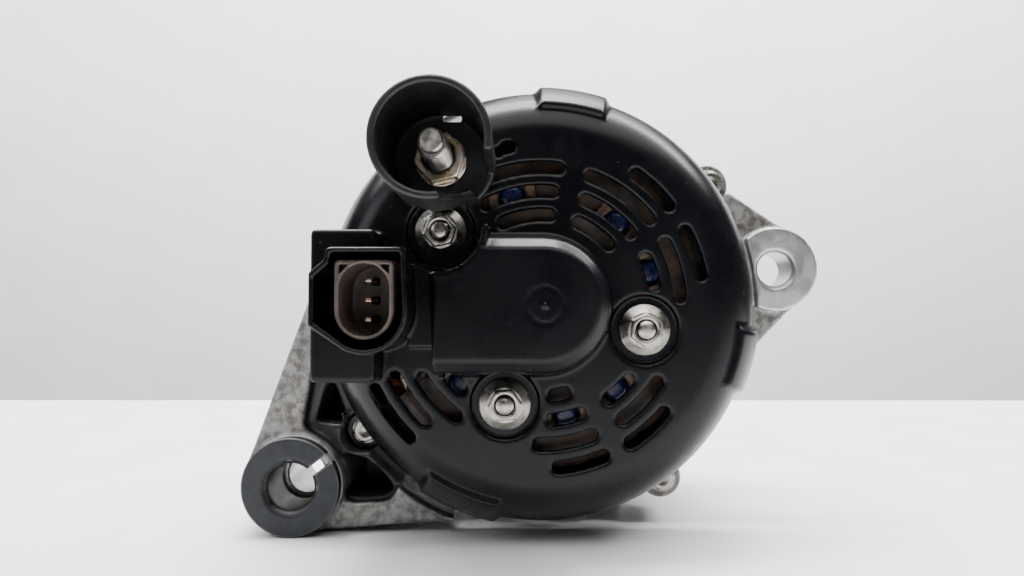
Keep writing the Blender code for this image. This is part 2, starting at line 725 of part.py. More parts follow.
def rear_bracket():
    bracket = cylinder("rear_bracket", BRACKET_R, (REAR_FACE_D - 0.0005, REAR_RING_D), ROUND)
    join(bracket, left_arm())
    join(bracket, cylinder("left_boss", LEFT_BOSS_R, LEFT_BOSS_D, 28, LEFT_LUG))
    join(bracket, right_arm())
    join(bracket, cylinders("ears", EAR_R, (EAR_D, REAR_RING_D - 0.0002), ear_places()))
    cover_room = [(0, 0.055), (0.0712, 0.055), (0.0712, 0.0768), (BRACKET_R, 0.0768)]
    cover_room += [(BRACKET_R, REAR_FACE_D), (0, REAR_FACE_D)]
    cut(bracket, lathe("cover_room", cover_room, ROUND))
    chamber = [(0, REAR_WALL_D), (CHAMBER_R, REAR_WALL_D), (CHAMBER_R, STATOR_D[0] - GAP)]
    chamber += [(SPIGOT_R, STATOR_D[0] - GAP), (SPIGOT_R, 0.110), (0, 0.110)]
    cut(bracket, lathe("chamber", chamber, ROUND))
    cut(bracket, prisms("windows", windows(rear_spokes(), 0.027, 0.0565, 0.0035), 0.060, 0.080))
    side_angles = (55, 72, 89, 106, 160, 178, -72, -90, -108, -34)
    cut(bracket, radial_boxes("side_windows", side_angles, 0.055, 0.0675, 0.0130, (0.0770, 0.0905)))
    join(bracket, cylinders("stud_bosses", 0.0052, (0.0680, REAR_WALL_D - 0.0002), polar_places(COVER_STUDS)))
    join(bracket, cylinder("bearing_boss", 0.0212, (0.0635, 0.0775), 24))
    seat = [(0, 0.060), (0.0125, 0.060), (0.0125, 0.0655), (0.0178, 0.0655), (0.0178, 0.080), (0, 0.080)]
    cut(bracket, lathe("bearing_seat", seat, 24))
    cut(bracket, cylinders("stud_threads", 0.0028, (0.060, 0.0722), polar_places(COVER_STUDS), 8))
    cut(bracket, cylinders("bolt_holes", 0.0029, (0.070, 0.105), ear_places(), 8))
    cut(bracket, cylinders("head_room", 0.0064, (0.060, EAR_D), ear_places(), 12))
    left_bore = [(0, 0.055), (BUSH_SLEEVE_R + GAP, 0.055), (BUSH_SLEEVE_R + GAP, 0.0790)]
    left_bore += [(LUG_BORE_R, 0.0790), (LUG_BORE_R, 0.110), (0, 0.110)]
    cut(bracket, lathe("left_bore", left_bore, 24, LEFT_LUG))
    near, far = RIGHT_BOSS_D
    right_bore = [(0, near - 0.001), (0.0066, near - 0.001), (0.0066, near), (RIGHT_BORE_R, near + 0.001)]
    right_bore += [(RIGHT_BORE_R, far + 0.002), (0, far + 0.002)]
    return cut(bracket, lathe("right_bore", right_bore, 18, RIGHT_LUG))


def front_spokes():
    return [15 + 45 * i for i in range(8)]


def front_bracket():
    bracket = cylinder("front_bracket", BRACKET_R, (FRONT_RING_D, FRONT_FACE_D), ROUND)
    join(bracket, cylinders("ears", EAR_R, (FRONT_RING_D + 0.0002, 0.1320), ear_places()))
    foot = [(0.0140, -0.0560), (0.0140, -AXIS_Z), (0.0300, -AXIS_Z), (0.0330, -0.0560)]
    join(bracket, prism("foot", foot, FRONT_RING_D + 0.0004, 0.1395))
    rest = [(0.0140, -0.0655), (0.0140, -AXIS_Z), (0.0300, -AXIS_Z), (0.0300, -0.0655)]
    join(bracket, prism("rest", rest, 0.1030, 0.1200))
    chamber = [(0, 0.100), (SPIGOT_R, 0.100), (SPIGOT_R, STATOR_D[1] + GAP)]
    chamber += [(CHAMBER_R, STATOR_D[1] + GAP), (CHAMBER_R, FRONT_WALL_D), (0, FRONT_WALL_D)]
    cut(bracket, lathe("chamber", chamber, ROUND))
    cut(bracket, prisms("windows", windows(front_spokes(), 0.033, 0.0565, 0.0035), 0.130, 0.150))
    side_angles = [angle for angle in range(2, 360, 20) if clear_of_ears(angle)]
    cut(bracket, radial_boxes("side_windows", side_angles, 0.055, 0.0685, 0.0130, (0.1235, 0.1350)))
    join(bracket, cylinder("bearing_boss", 0.0285, (0.1306, 0.1465), 24))
    seat = [(0, 0.125), (0.0238, 0.125), (0.0238, 0.1449), (0.0165, 0.1449), (0.0165, 0.150), (0, 0.150)]
    cut(bracket, lathe("bearing_seat", seat, 28))
    cut(bracket, cylinders("screw_holes", 0.0019, (0.125, 0.1370), retainer_places(), 8))
    return cut(bracket, cylinders("bolt_threads", 0.0029, (0.110, 0.1290), ear_places(), 8))


def clear_of_ears(angle):
    """Whether a side window at this angle misses the bolt ears and the foot."""
    kept = [abs((angle - other + 180) % 360 - 180) > 13 for other in BOLT_ANGLES]
    return all(kept) and not 282 < angle < 304


# Stator ---------------------------------------------------------------------------------------


def stator_core():
    """A laminated ring with slots that open to the bore."""
    pitch = 360 / SLOT_COUNT
    bore = []
    for i in range(SLOT_COUNT):
        middle = i * pitch
        for radius, half in ((STATOR_BORE_R, 0.0025), (SLOT_R, 0.0029)):
            bore.append(on_circle(radius, middle - math.degrees(half / radius)))
        for radius, half in ((SLOT_R, 0.0029), (STATOR_BORE_R, 0.0025)):
            bore.append(on_circle(radius, middle + math.degrees(half / radius)))
    core = cylinder("stator_core", STATOR_R, STATOR_D, ROUND)
    return cut(core, prism("bore", bore, STATOR_D[0] - 0.002, STATOR_D[1] + 0.002))


def winding_ring(name, near, far):
    profile = [(0.0520, near), (0.0604, near), (0.0608, far), (0.0517, far)]
    return lathe(name, profile, SLOT_COUNT)


def stator_winding():
    """Two rings of end turns, joined by the bars that fill the slots."""
    rear = winding_ring("stator_winding", 0.0800, STATOR_D[0] - 0.0006)
    front = winding_ring("front_turns", STATOR_D[1] + 0.0006, 0.1330)
    angles = [360 * i / SLOT_COUNT for i in range(SLOT_COUNT)]
    bars = radial_boxes("bars", angles, 0.0532, SLOT_R - 0.0006, 0.0042, (0.0880, 0.1250))
    join(rear, bars)
    return join(rear, front)


# Rotor ----------------------------------------------------------------------------------------


def rotor_shaft():
    near, far = SHAFT_D
    profile = [(0, near), (0.0040, near), (0.0048, near + 0.0008), (0.0048, 0.0600)]
    profile += [(REAR_SEAT_R, 0.0610), (REAR_SEAT_R, 0.0782), (0.0090, 0.0782), (0.0090, 0.1290)]
    profile += [(FRONT_SEAT_R, 0.1290), (FRONT_SEAT_R, 0.1595), (0.0078, 0.1595), (0.0078, far - 0.001)]
    return lathe("rotor_shaft", profile + [(0.0068, far), (0, far)], 16)


def claw_gap(angle, root, tip, root_half, tip_half):
    """A wedge that parts two neighbouring fingers; it's wider towards their tips."""
    bm = bmesh.new()
    corners = []
    for radius in (0.0395, 0.0520):
        for depth, half in ((root, root_half), (tip, tip_half)):
            for side in (-1, 1):
                x, z = on_circle(radius, angle + side * half)
                corners.append(bm.verts.new(at(x, depth, z)))
    a, b, c, d, e, f, g, h = corners
    for face in ((a, b, d, c), (e, g, h, f), (a, e, f, b), (c, d, h, g), (a, c, g, e), (b, f, h, d)):
        bm.faces.new(face)
    return bm


def claws(name, disc, tip, turn):
    """One pole piece: a disc with a half core and eight fingers that point at the other one."""
    near, far = (disc, tip) if disc < tip else (tip, disc)
    inward = 1 if tip > disc else -1
    disc_end = disc + inward * CLAW_DISC
    middle = (CLAW_D[0] + CLAW_D[1]) / 2 - inward * GAP / 2
    profile = [(0.0093, disc), (ROTOR_R - 0.0012, disc), (ROTOR_R, disc + inward * 0.0012), (ROTOR_R, tip)]
    profile += [(0.0445, tip), (0.0405, disc_end), (CORE_R, disc_end), (CORE_R, middle), (0.0093, middle)]
    piece = lathe(name, profile, 3 * CLAW_COUNT)
    pitch = 360 / CLAW_COUNT
    whole = bmesh.new()
    for i in range(CLAW_COUNT):
        root = disc - inward * 0.002
        wedge = claw_gap(turn + pitch * (i + 0.5), root, tip + inward * 0.002, 8.5, 15.5)
        mesh = bpy.data.meshes.new("wedge")
        wedge.to_mesh(mesh)
        wedge.free()
        whole.from_mesh(mesh)
        bpy.data.meshes.remove(mesh)
    return cut(piece, add_object("wedges", whole))


def field_coil():
    near = CLAW_D[0] + CLAW_DISC + 0.0006
    far = CLAW_D[1] - CLAW_DISC - 0.0006
    return tube("field_coil", CORE_R + 0.0004, COIL_R, (near, far), 24)


def fan(name, disc_near, disc_far, blade_far):
    """A stamped disc with blades that stand up from it."""
    piece = tube(name, 0.0095, 0.0400, (disc_near, disc_far), 24)
    bm = bmesh.new()
    for i in range(FAN_BLADES):
        angle = 360 * i / FAN_BLADES
        outline = []
        for radius, lag, side in ((0.032, 0, -1), (0.040, 9, -1), (0.0475, 20, -1)):
            outline.append((radius, angle + lag + math.degrees(side * 0.0006 / radius)))
        for radius, lag, side in ((0.0475, 20, 1), (0.040, 9, 1), (0.032, 0, 1)):
            outline.append((radius, angle + lag + math.degrees(side * 0.0006 / radius)))
        add_loft(bm, polar_places(outline), (disc_near + disc_far) / 2, polar_places(outline), blade_far)
    return join(piece, add_object("blades", bm))


def bearing(name, shaft_r, outer_r, ball_r, ball_count, depths):
    """The inner race, the cage with its balls, and the outer race."""
    near, far = depths
    pitch_r = (shaft_r + outer_r) / 2
    inner = tube(name + "_inner_race", shaft_r + GAP, pitch_r - ball_r - GAP, depths, 24)
    outer = tube(name + "_outer_race", pitch_r + ball_r + GAP, outer_r, depths, 28)
    middle = (near + far) / 2
    cage = tube(name + "_cage", pitch_r - 0.0009, pitch_r + 0.0009, (middle - 0.0014, middle + 0.0014), 24)
    bm = bmesh.new()
    for i in range(ball_count):
        x, z = on_circle(pitch_r, 360 * i / ball_count)
        place = Matrix.Translation(at(x, middle, z))
        bmesh.ops.create_uvsphere(bm, u_segments=6, v_segments=4, radius=ball_r, matrix=place)
    return inner, join(cage, add_object("balls", bm)), outer


def slip_ring(name, depths):
    return tube(name, 0.0065, SLIP_RING_R, depths, 16)


def slip_ring_hub():
    """The moulded sleeve that carries both slip rings."""
    profile = [(0.0051, 0.0345), (0.0072, 0.0345)]
    for near, far in SLIP_RINGS_D:
        profile += [(0.0072, near - GAP), (0.0062, near - GAP), (0.0062, far + GAP), (0.0072, far + GAP)]
    return lathe("slip_ring_hub", profile + [(0.0072, 0.0560), (0.0051, 0.0560)], 16)


def pulley():
    """Six V-shaped grooves, a web and a hub that reaches the front bearing."""
    near, far = PULLEY_D
    first = near + (far - near - RIB_COUNT * RIB_PITCH) / 2
    profile = [(0.0089, 0.1448), (0.0125, 0.1448), (0.0125, near + 0.006)]
    profile += [(0.0225, near + 0.004), (0.0225, near)]
    profile += [(PULLEY_R, near)]
    for i in range(RIB_COUNT):
        start = first + RIB_PITCH * i
        profile += [(PULLEY_R, start + 0.0003), (PULLEY_R - RIB_DEPTH, start + RIB_PITCH / 2)]
    profile += [(PULLEY_R, first + RIB_PITCH * RIB_COUNT - 0.0003), (PULLEY_R, far), (0.0215, far)]
    profile += [(0.0215, 0.1640), (0.0160, 0.1622), (0.0089, 0.1622)]
    return lathe("pulley", profile, 24)


def pulley_nut():
    piece = prism("pulley_nut", hexagon(0.024), 0.1628, 0.1722)
    join(piece, cylinder("collar", 0.0138, (0.1626, 0.1640), 24))
    return cut(piece, cylinder("thread", 0.0078 + GAP, (0.160, 0.175), 24))


def bearing_retainer():
    piece = tube("bearing_retainer", 0.0190, 0.0282, (0.1282, 0.1302), 24)
    return cut(piece, cylinders("screw_holes", 0.0018, (0.127, 0.132), retainer_places(), 10))


def retainer_places():
    return [on_circle(0.0260, 90 + 120 * i) for i in range(3)]


def retainer_screw(name, centre):
    profile = [(0, 0.1272), (0.0018, 0.1272), (0.0021, 0.1279)]
    profile += [(0.0015, 0.1279), (0.0015, 0.1360), (0, 0.1360)]
    return lathe(name, profile, 12, centre)


def through_bolt(name, centre):
    head = prism(name, hexagon(0.0070, centre, 15), BOLT_HEAD_D, 0.0785)
    join(head, cylinder("flange", 0.0045, (0.0783, EAR_D - GAP), 16, centre))
    return join(head, cylinder("shank", 0.0025, (0.0790, 0.1285), 12, centre))


def lug_bush():
    """A split steel bush with a flange, which slides in its pocket when the mounting bolt is tightened."""
    near, far = BUSH_D
    profile = [(BUSH_BORE_R + 0.0016, near), (BUSH_FLANGE_R - 0.0003, near), (BUSH_FLANGE_R, near + 0.0004)]
    profile += [(BUSH_FLANGE_R, 0.0620), (BUSH_SLEEVE_R, 0.0620), (BUSH_SLEEVE_R, far), (BUSH_BORE_R, far)]
    piece = lathe("lug_bush", profile + [(BUSH_BORE_R, near + 0.0016)], 28, LEFT_LUG)
    half = 0.00135
    along = on_circle(1, 37)
    across = (-along[1] * half, along[0] * half)
    ends = (0.003, 0.020)
    outline = [(LEFT_LUG[0] + along[0] * r + s * across[0], LEFT_LUG[1] + along[1] * r + s * across[1])
               for r, s in ((ends[0], -1), (ends[1], -1), (ends[1], 1), (ends[0], 1))]
    return cut(piece, prism("slit", outline, near - 0.002, far + 0.002))


# Assembly -------------------------------------------------------------------------------------


def build_covers(put):
    put(rear_cover(), "cover_plastic")
    put(terminal_insulator(), "cover_plastic")
    put(terminal_stud(), "steel")
    put(terminal_nut(), "yellow_zinc")
    for i, (centre, turn) in enumerate(zip(polar_places(COVER_STUDS), (25, 5, 12)), 1):
        put(cover_nut(f"cover_nut_{i}", centre, turn), "zinc_steel")
        put(cover_stud(f"cover_stud_{i}", centre), "zinc_steel")


def build_electrics(put):
    put(regulator_body(), "cast_aluminium")
    put(regulator_connector(), "connector_plastic")
    for i, z in enumerate(pin_heights(), 1):
        put(connector_pin(f"connector_pin_{i}", z), "copper")
    put(brush_holder(), "inner_plastic")
    for i, middle in enumerate(ring_middles(), 1):
        put(brush(f"brush_{i}", middle), "carbon")
        put(brush_spring(f"brush_spring_{i}", middle), "steel")
    put(positive_heat_sink(), "cast_aluminium")
    put(negative_heat_sink(), "cast_aluminium")
    put(terminal_block(), "inner_plastic")
    for i, centre in enumerate(diode_places(), 1):
        put(diode(f"diode_{i}", centre), "diode_resin")


def build_housing(put):
    put(rear_bracket(), "cast_aluminium")
    put(front_bracket(), "cast_aluminium")
    put(stator_core(), "lamination")
    put(stator_winding(), "enamelled_copper")
    put(bearing_retainer(), "steel")
    for i, centre in enumerate(retainer_places(), 1):
        put(retainer_screw(f"retainer_screw_{i}", centre), "zinc_steel")
    for i, centre in enumerate(ear_places(), 1):
        put(through_bolt(f"through_bolt_{i}", centre), "zinc_steel")
    put(lug_bush(), "bush_steel")


def build_rotor(put_still, put):
    put(rotor_shaft(), "steel")
    half_pitch = 180 / CLAW_COUNT
    put(claws("rear_pole_claw", CLAW_D[0], CLAW_D[1] - 0.0035, 0), "iron")
    put(claws("front_pole_claw", CLAW_D[1], CLAW_D[0] + 0.0035, half_pitch), "iron")
    put(field_coil(), "enamelled_copper")
    put(fan("rear_fan", 0.0872, 0.0887, 0.0795), "zinc_steel")
    put(fan("front_fan", 0.1257, 0.1272, 0.1355), "zinc_steel")
    put(slip_ring_hub(), "inner_plastic")
    for i, depths in enumerate(SLIP_RINGS_D, 1):
        put(slip_ring(f"slip_ring_{i}", depths), "copper")
    put(pulley(), "steel")
    put(pulley_nut(), "zinc_steel")
    rear = bearing("rear_bearing", REAR_SEAT_R, 0.0175, 0.0029, 8, REAR_BEARING_D)
    front = bearing("front_bearing", FRONT_SEAT_R, 0.0235, 0.0042, 7, FRONT_BEARING_D)
    for inner, cage, outer in (rear, front):
        put(inner, "steel")
        put(cage, "steel")
        put_still(outer, "steel")


def main():
    for old in list(bpy.data.objects):
        bpy.data.objects.remove(old)
    finishes = materials()
    housing = empty("housing")
    housing.location = (AXIS_X, 0, AXIS_Z)
    rotor = empty("rotor", housing)

    def put_still(piece, slot_name):
        return finish(piece, finishes, slot_name, housing, origins.get(piece.name, (0, 0, 0)))

    def put_turning(piece, slot_name):
        return finish(piece, finishes, slot_name, rotor)

    tail = -(SLIP_RING_R + GAP)
    origins = {f"brush_{i}": at(tail, middle, 0) for i, middle in enumerate(ring_middles(), 1)}
    origins["lug_bush"] = at(LEFT_LUG[0], BUSH_D[0], LEFT_LUG[1])
    build_covers(put_still)
    build_electrics(put_still)
    build_housing(put_still)
    build_rotor(put_still, put_turning)


main()
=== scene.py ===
import json
import math

import bmesh
import bpy
import numpy as np
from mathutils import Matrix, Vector


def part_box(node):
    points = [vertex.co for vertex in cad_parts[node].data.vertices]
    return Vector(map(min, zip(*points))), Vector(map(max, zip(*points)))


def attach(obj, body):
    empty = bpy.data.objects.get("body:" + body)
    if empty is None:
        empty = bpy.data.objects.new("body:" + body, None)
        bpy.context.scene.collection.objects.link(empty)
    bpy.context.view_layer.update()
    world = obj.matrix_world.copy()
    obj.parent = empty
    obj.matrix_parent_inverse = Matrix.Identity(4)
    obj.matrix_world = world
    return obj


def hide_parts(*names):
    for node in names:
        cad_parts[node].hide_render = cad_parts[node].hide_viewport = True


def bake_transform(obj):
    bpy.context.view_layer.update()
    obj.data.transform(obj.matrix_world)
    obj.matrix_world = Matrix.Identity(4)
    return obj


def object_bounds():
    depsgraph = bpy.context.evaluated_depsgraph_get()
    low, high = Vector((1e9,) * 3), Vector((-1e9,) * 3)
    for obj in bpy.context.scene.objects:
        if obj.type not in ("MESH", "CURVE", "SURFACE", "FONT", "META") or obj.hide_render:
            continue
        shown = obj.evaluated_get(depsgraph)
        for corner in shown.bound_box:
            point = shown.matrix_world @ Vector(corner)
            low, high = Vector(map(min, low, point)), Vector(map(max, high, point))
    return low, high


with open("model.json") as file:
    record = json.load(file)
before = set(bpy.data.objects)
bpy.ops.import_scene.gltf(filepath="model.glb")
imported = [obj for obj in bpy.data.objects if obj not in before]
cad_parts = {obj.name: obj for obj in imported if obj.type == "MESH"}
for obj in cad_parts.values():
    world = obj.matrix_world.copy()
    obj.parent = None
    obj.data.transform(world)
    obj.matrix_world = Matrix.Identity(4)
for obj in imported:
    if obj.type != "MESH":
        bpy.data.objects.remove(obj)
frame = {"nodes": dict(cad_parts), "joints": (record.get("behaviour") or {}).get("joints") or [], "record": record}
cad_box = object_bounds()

# Places and sizes below are in millimetres: x and z count from the shaft axis, and d is the depth
# from the rim of the terminal shroud, which is the rearmost edge. Angles are in degrees.
NODES = frame["nodes"]
BODIES = {node: body for body, nodes in frame["record"]["behaviour"]["bodies"].items() for node in nodes}
shaped = set()
SPIN = next(joint for joint in frame["joints"] if joint["name"] == "rotor_spin")
AXIS_X, AXIS_Z = SPIN["pos_m"][0], SPIN["pos_m"][2]
REAR_Y = cad_box[0].y


def opening(name):
    """Middle of one of the record's openings, as (x, z)."""
    boxes = {o["name"]: o["box_m"] for o in frame["record"]["physics"]["openings"]}
    low, high = boxes[name]
    return 500 * (low[0] + high[0]) - 1000 * AXIS_X, 500 * (low[2] + high[2]) - 1000 * AXIS_Z


def centre(node):
    """Middle of a CAD node, as (x, z)."""
    low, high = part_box(node)
    return 500 * (low.x + high.x) - 1000 * AXIS_X, 500 * (low.z + high.z) - 1000 * AXIS_Z


def depths(node):
    """Where a CAD node begins and ends along the axis."""
    low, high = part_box(node)
    return 1000 * (low.y - REAR_Y), 1000 * (high.y - REAR_Y)


TERMINAL = centre("terminal_nut")
NUTS = [centre(f"cover_nut_{i}") for i in (1, 2, 3)]
BOLTS = [centre(f"through_bolt_{i}") for i in (1, 2, 3, 4)]
SCREWS = [centre(f"retainer_screw_{i}") for i in (1, 2, 3)]
LEFT_LUG = centre("lug_bush")
RIGHT_LUG = opening("right_lug_hole")

# Rear cover
COVER_R = 65
FACE_R = 50
FACE_D = 41
SIDE_D = 63
COVER_END_D = 70
WALL = 2.2
HOOD_D = 27
HOOD_LEFT = -29.4
HOOD_R = (15.2, 18.4, 20.2)
BLOCK = (-61.9, -44.8, -20.7, 20.2)
BRIDGE = (-36.5, -28, -11.5, 11.5)
BRIDGE_D = 31
NUT_SEAT_R = 9.7
NUT_SEAT_D = 42.5
STUD_HOLE_R = 3.1
SHROUD_D = 15
BED_D = 40
PORT = (-45.9, 1.3)
PORT_SIZE = (15.3, 20.5)
PORT_OPENING = (12.8, 18.6)
VENT_WIDTH = 3.6
VENTS = {
    25.7: ((118.7, 80.7), (70, 38), (-71, -86)),
    32.5: ((122, 81), (70.5, 36), (27, 7), (-37.5, -57.5), (-67, -87.5), (-131, -145)),
    39.3: ((116, 80), (71.8, 36), (29, 0.8), (-31, -57), (-66, -93.8), (-125, -151)),
    46.0: ((105, 99), (56.5, 35.8), (29.5, 8.5), (-39, -59.3), (-65.3, -86.3), (-133.3, -156)),
    52.6: ((-133, -155),),
}
BUMPS = ((70, 92), (-25, -5), (-125, -100))
BUMP_RISE = 1.9
BUMP_INNER_R = 55.5
BUMP_END_D = 66.6

DRAIN = (-12.2, 43.6)
HOOD_MARK = (0.6, -0.2)
HOOD_MARK_R = 4.8

# Terminal shroud
CUP_R = 14.75
CUP_BORE_R = 12.8
CUP_FLOOR_D = 31.8

# Lug bush
BUSH_FLANGE_R = 14.95
BUSH_SLEEVE_R = 12.4
BUSH_BORE_R = 7.1
SLIT_ANGLE = 37
SLIT_WIDTH = 2.7

# Brackets
BRACKET_R = 67
FRONT_RING_D = 113.2
FRONT_WALL_D = 137
FRONT_FACE_D = 141
SPIGOT_R = 64.3
CHAMBER_R = 61.5
LEFT_BOSS_R = 15.2
LEFT_BOSS_D = (62.3, 107)
LEFT_ARM_D = (64, 104)
RIGHT_BOSS_R = 13.6
RIGHT_BOSS_D = (75, 90)
RIGHT_ARM_D = (78, 88.5)
RIGHT_BORE_R = 5.6
BUSH_SEAT_R = 12.7
BUSH_SEAT_D = 79
LEFT_BORE_R = 6.06
BOLT_HOLE_R = 2.9
REAR_BEARING_R = 17.8
FRONT_BEARING_R = 23.8
EAR_R = 6.6
EAR_D = 80
BOLT_HEAD_D = (76.5, 79.7)
BOLT_END_D = 128.5
BOLT_ANGLES = [math.degrees(math.atan2(z, x)) for x, z in BOLTS]
STATOR_D = depths("stator_core")
STATOR_R = 64
STATOR_BORE_R = 50.5
SLOT_R = 58.5
SLOT_COUNT = 24
PULLEY_D = depths("pulley")
DIODES = [centre(f"diode_{i}") for i in range(1, 7)]

# Width of a grid cell on large and on small pieces
CELL = 0.7
SMALL_CELL = CELL * 0.26


# Implicit shapes: distances in millimetres, negative inside


class Places:
    """Points to measure at."""

    def __init__(self, x, d, z):
        self.x, self.d, self.z = x, d, z
        self.r = np.hypot(x, z)


def on_circle(radius, angle, middle=(0, 0)):
    """The point (x, z) at an angle on a circle."""
    turn = math.radians(angle)
    return middle[0] + radius * math.cos(turn), middle[1] + radius * math.sin(turn)


def arc(radius, start, end, steps, middle=(0, 0)):
    return [on_circle(radius, start + (end - start) * i / steps, middle) for i in range(steps + 1)]


def blend_min(a, b, k):
    h = np.maximum(k - np.abs(a - b), 0) / k
    return np.minimum(a, b) - h * h * k / 4


def add(a, b, k=1.0):
    """Both shapes as one, with a fillet about k wide between them."""
    return blend_min(a, b, k)


def carve(a, b, k=0.6):
    """The first shape without the second, with its new edges rounded."""
    return -blend_min(-a, b, k)


def disc(p, middle, radius):
    """Distance to a circle about the point (x, z)."""
    return np.hypot(p.x - middle[0], p.z - middle[1]) - radius


def rectangle(p, left, right, bottom, top, corner=0.0):
    across = np.abs(p.x - (left + right) / 2) - (right - left) / 2 + corner
    up = np.abs(p.z - (bottom + top) / 2) - (top - bottom) / 2 + corner
    outside = np.hypot(np.maximum(across, 0), np.maximum(up, 0))
    return outside + np.minimum(np.maximum(across, up), 0) - corner


def outline(p, points, corner=0.0):
    """Distance to a closed outline, whose corners are rounded outwards."""
    nearest = np.full(p.x.shape, np.inf)
    inside = np.zeros(p.x.shape, bool)
    for (ax, az), (bx, bz) in zip(points, points[1:] + points[:1]):
        ex, ez = bx - ax, bz - az
        wx, wz = p.x - ax, p.z - az
        t = np.clip((wx * ex + wz * ez) / (ex * ex + ez * ez), 0, 1)
        nearest = np.minimum(nearest, (wx - ex * t) ** 2 + (wz - ez * t) ** 2)
        if az != bz:
            inside ^= ((az > p.z) != (bz > p.z)) & (wx < ex * wz / ez)
    distance = np.sqrt(nearest)
    return np.where(inside, -distance, distance) - corner


def slot(p, radius, half_width, start, end):
    """A slot bent along a circle about the axis, with round ends at the two angles."""
    middle = math.radians((start + end) / 2)
    half = math.radians(abs(end - start) / 2) - half_width / radius
    along = p.x * math.cos(middle) + p.z * math.sin(middle)
    across = np.abs(p.z * math.cos(middle) - p.x * math.sin(middle))
    end_point = np.hypot(along - radius * math.cos(half), across - radius * math.sin(half))
    beyond = across * math.cos(half) > along * math.sin(half)
    return np.where(beyond, end_point, np.abs(p.r - radius)) - half_width


def sector(p, inner, outer, start, end, middle=(0, 0)):
    """Part of a ring, between two angles."""
    turn = math.radians((start + end) / 2)
    x, z = p.x - middle[0], p.z - middle[1]
    away = np.hypot(x, z)
    angle = np.arctan2(z * math.cos(turn) - x * math.sin(turn), x * math.cos(turn) + z * math.sin(turn))
    ends = (np.abs(angle) - math.radians(abs(end - start) / 2)) * away
    return np.maximum(ends, np.maximum(inner - away, away - outer))


def rounded(points, reach):
    """The outline with each corner turned into a short curve."""
    found = []
    for before, corner, after in zip(points[-1:] + points[:-1], points, points[1:] + points[:1]):
        ends = []
        for other in (before, after):
            share = min(reach / math.dist(corner, other), 0.45)
            ends.append([c + (o - c) * share for c, o in zip(corner, other)])
        for t in (0, 0.25, 0.5, 0.75, 1):
            a, b, c = (1 - t) ** 2, 2 * t * (1 - t), t * t
            found.append(tuple(a * s + b * m + c * e for s, m, e in zip(ends[0], corner, ends[1])))
    return found


def ease(value):
    """0 up to 0 and 1 from 1 on, with a smooth rise between them."""
    t = np.clip(value, 0, 1)
    return t * t * (3 - 2 * t)


def within(node, shape):
    """The shape, kept inside the node's box."""
    low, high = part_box(node)
    origin = Vector((AXIS_X, REAR_Y, AXIS_Z))
    low, high = 1000 * (low - origin), 1000 * (high - origin)

    def kept(p):
        across = np.maximum(low.x - p.x, p.x - high.x)
        up = np.maximum(low.z - p.z, p.z - high.z)
        return np.maximum(shape(p), np.maximum(across, up))

    return kept


def extrude(flat, p, near, far, edge=0.4):
    """A flat shape drawn out between two depths, with rounded edges."""
    sides = flat + edge
    ends = np.maximum(near - p.d, p.d - far) + edge
    outside = np.hypot(np.maximum(sides, 0), np.maximum(ends, 0))
    return outside + np.minimum(np.maximum(sides, ends), 0) - edge


def rod(p, middle, radius, near, far, edge=0.4):
    """A round bar between two depths."""
    return extrude(disc(p, middle, radius), p, near, far, edge)


def sign_of_cells(shape, axes):
    """The shape's values on the grid, measured only near its surface."""
    step = 4
    coarse = [axis[::step] + (axis[1] - axis[0]) * (step - 1) / 2 for axis in axes]
    rough = shape(Places(*np.meshgrid(*coarse, indexing="ij")))
    wide = rough
    for direction in range(3):
        wide = np.repeat(wide, step, axis=direction)
    wide = wide[: len(axes[0]), : len(axes[1]), : len(axes[2])]
    reach = (axes[0][1] - axes[0][0]) * step * 1.3 + 1.0
    near = np.abs(wide) < reach
    values = wide.copy()
    grid = np.meshgrid(*axes, indexing="ij", sparse=True)
    spots = [np.broadcast_to(g, near.shape)[near] for g in grid]
    values[near] = shape(Places(*spots))
    return values


def net(values, low, cell):
    """Surface nets: one point in each cell that the surface crosses, and a face round each crossed edge."""
    inside = values < 0
    ranges = [(slice(None, -1), slice(1, None)) for _ in range(3)]
    corners = [(i, j, k) for i in (0, 1) for j in (0, 1) for k in (0, 1)]

    def corner(array, c):
        return array[tuple(ranges[axis][c[axis]] for axis in range(3))]

    held = sum(corner(inside, c).astype(np.int8) for c in corners)
    active = (held > 0) & (held < 8)
    index = np.full(active.shape, -1)
    index[active] = np.arange(active.sum())
    total = np.zeros((active.sum(), 3))
    count = np.zeros(active.sum())
    for axis in range(3):
        for c in corners:
            if c[axis]:
                continue
            other = tuple(v + (i == axis) for i, v in enumerate(c))
            a, b = corner(values, c)[active], corner(values, other)[active]
            crossed = (a < 0) != (b < 0)
            t = np.where(crossed, a / np.where(crossed, a - b, 1), 0)
            place = np.tile(np.array(c, float), (len(a), 1))
            place[:, axis] = t
            total += place * crossed[:, None]
            count += crossed
    points = low + cell * (np.argwhere(active) + total / count[:, None])
    faces = []
    for axis in range(3):
        u, v = (axis + 1) % 3, (axis + 2) % 3
        a = np.take(inside, range(inside.shape[axis] - 1), axis=axis)
        b = np.take(inside, range(1, inside.shape[axis]), axis=axis)
        spot = np.argwhere(a != b)
        spot = spot[(spot[:, u] > 0) & (spot[:, v] > 0)]
        spot = spot[(spot[:, u] < inside.shape[u] - 1) & (spot[:, v] < inside.shape[v] - 1)]
        back_u, back_v = np.eye(3, dtype=int)[u], np.eye(3, dtype=int)[v]
        ring = [spot, spot - back_u, spot - back_u - back_v, spot - back_v]
        quads = np.stack([index[tuple(r.T)] for r in ring], axis=1)
        outwards = a[tuple(spot.T)]
        quads[~outwards] = quads[~outwards][:, ::-1]
        faces.append(quads)
    return points, np.concatenate(faces)


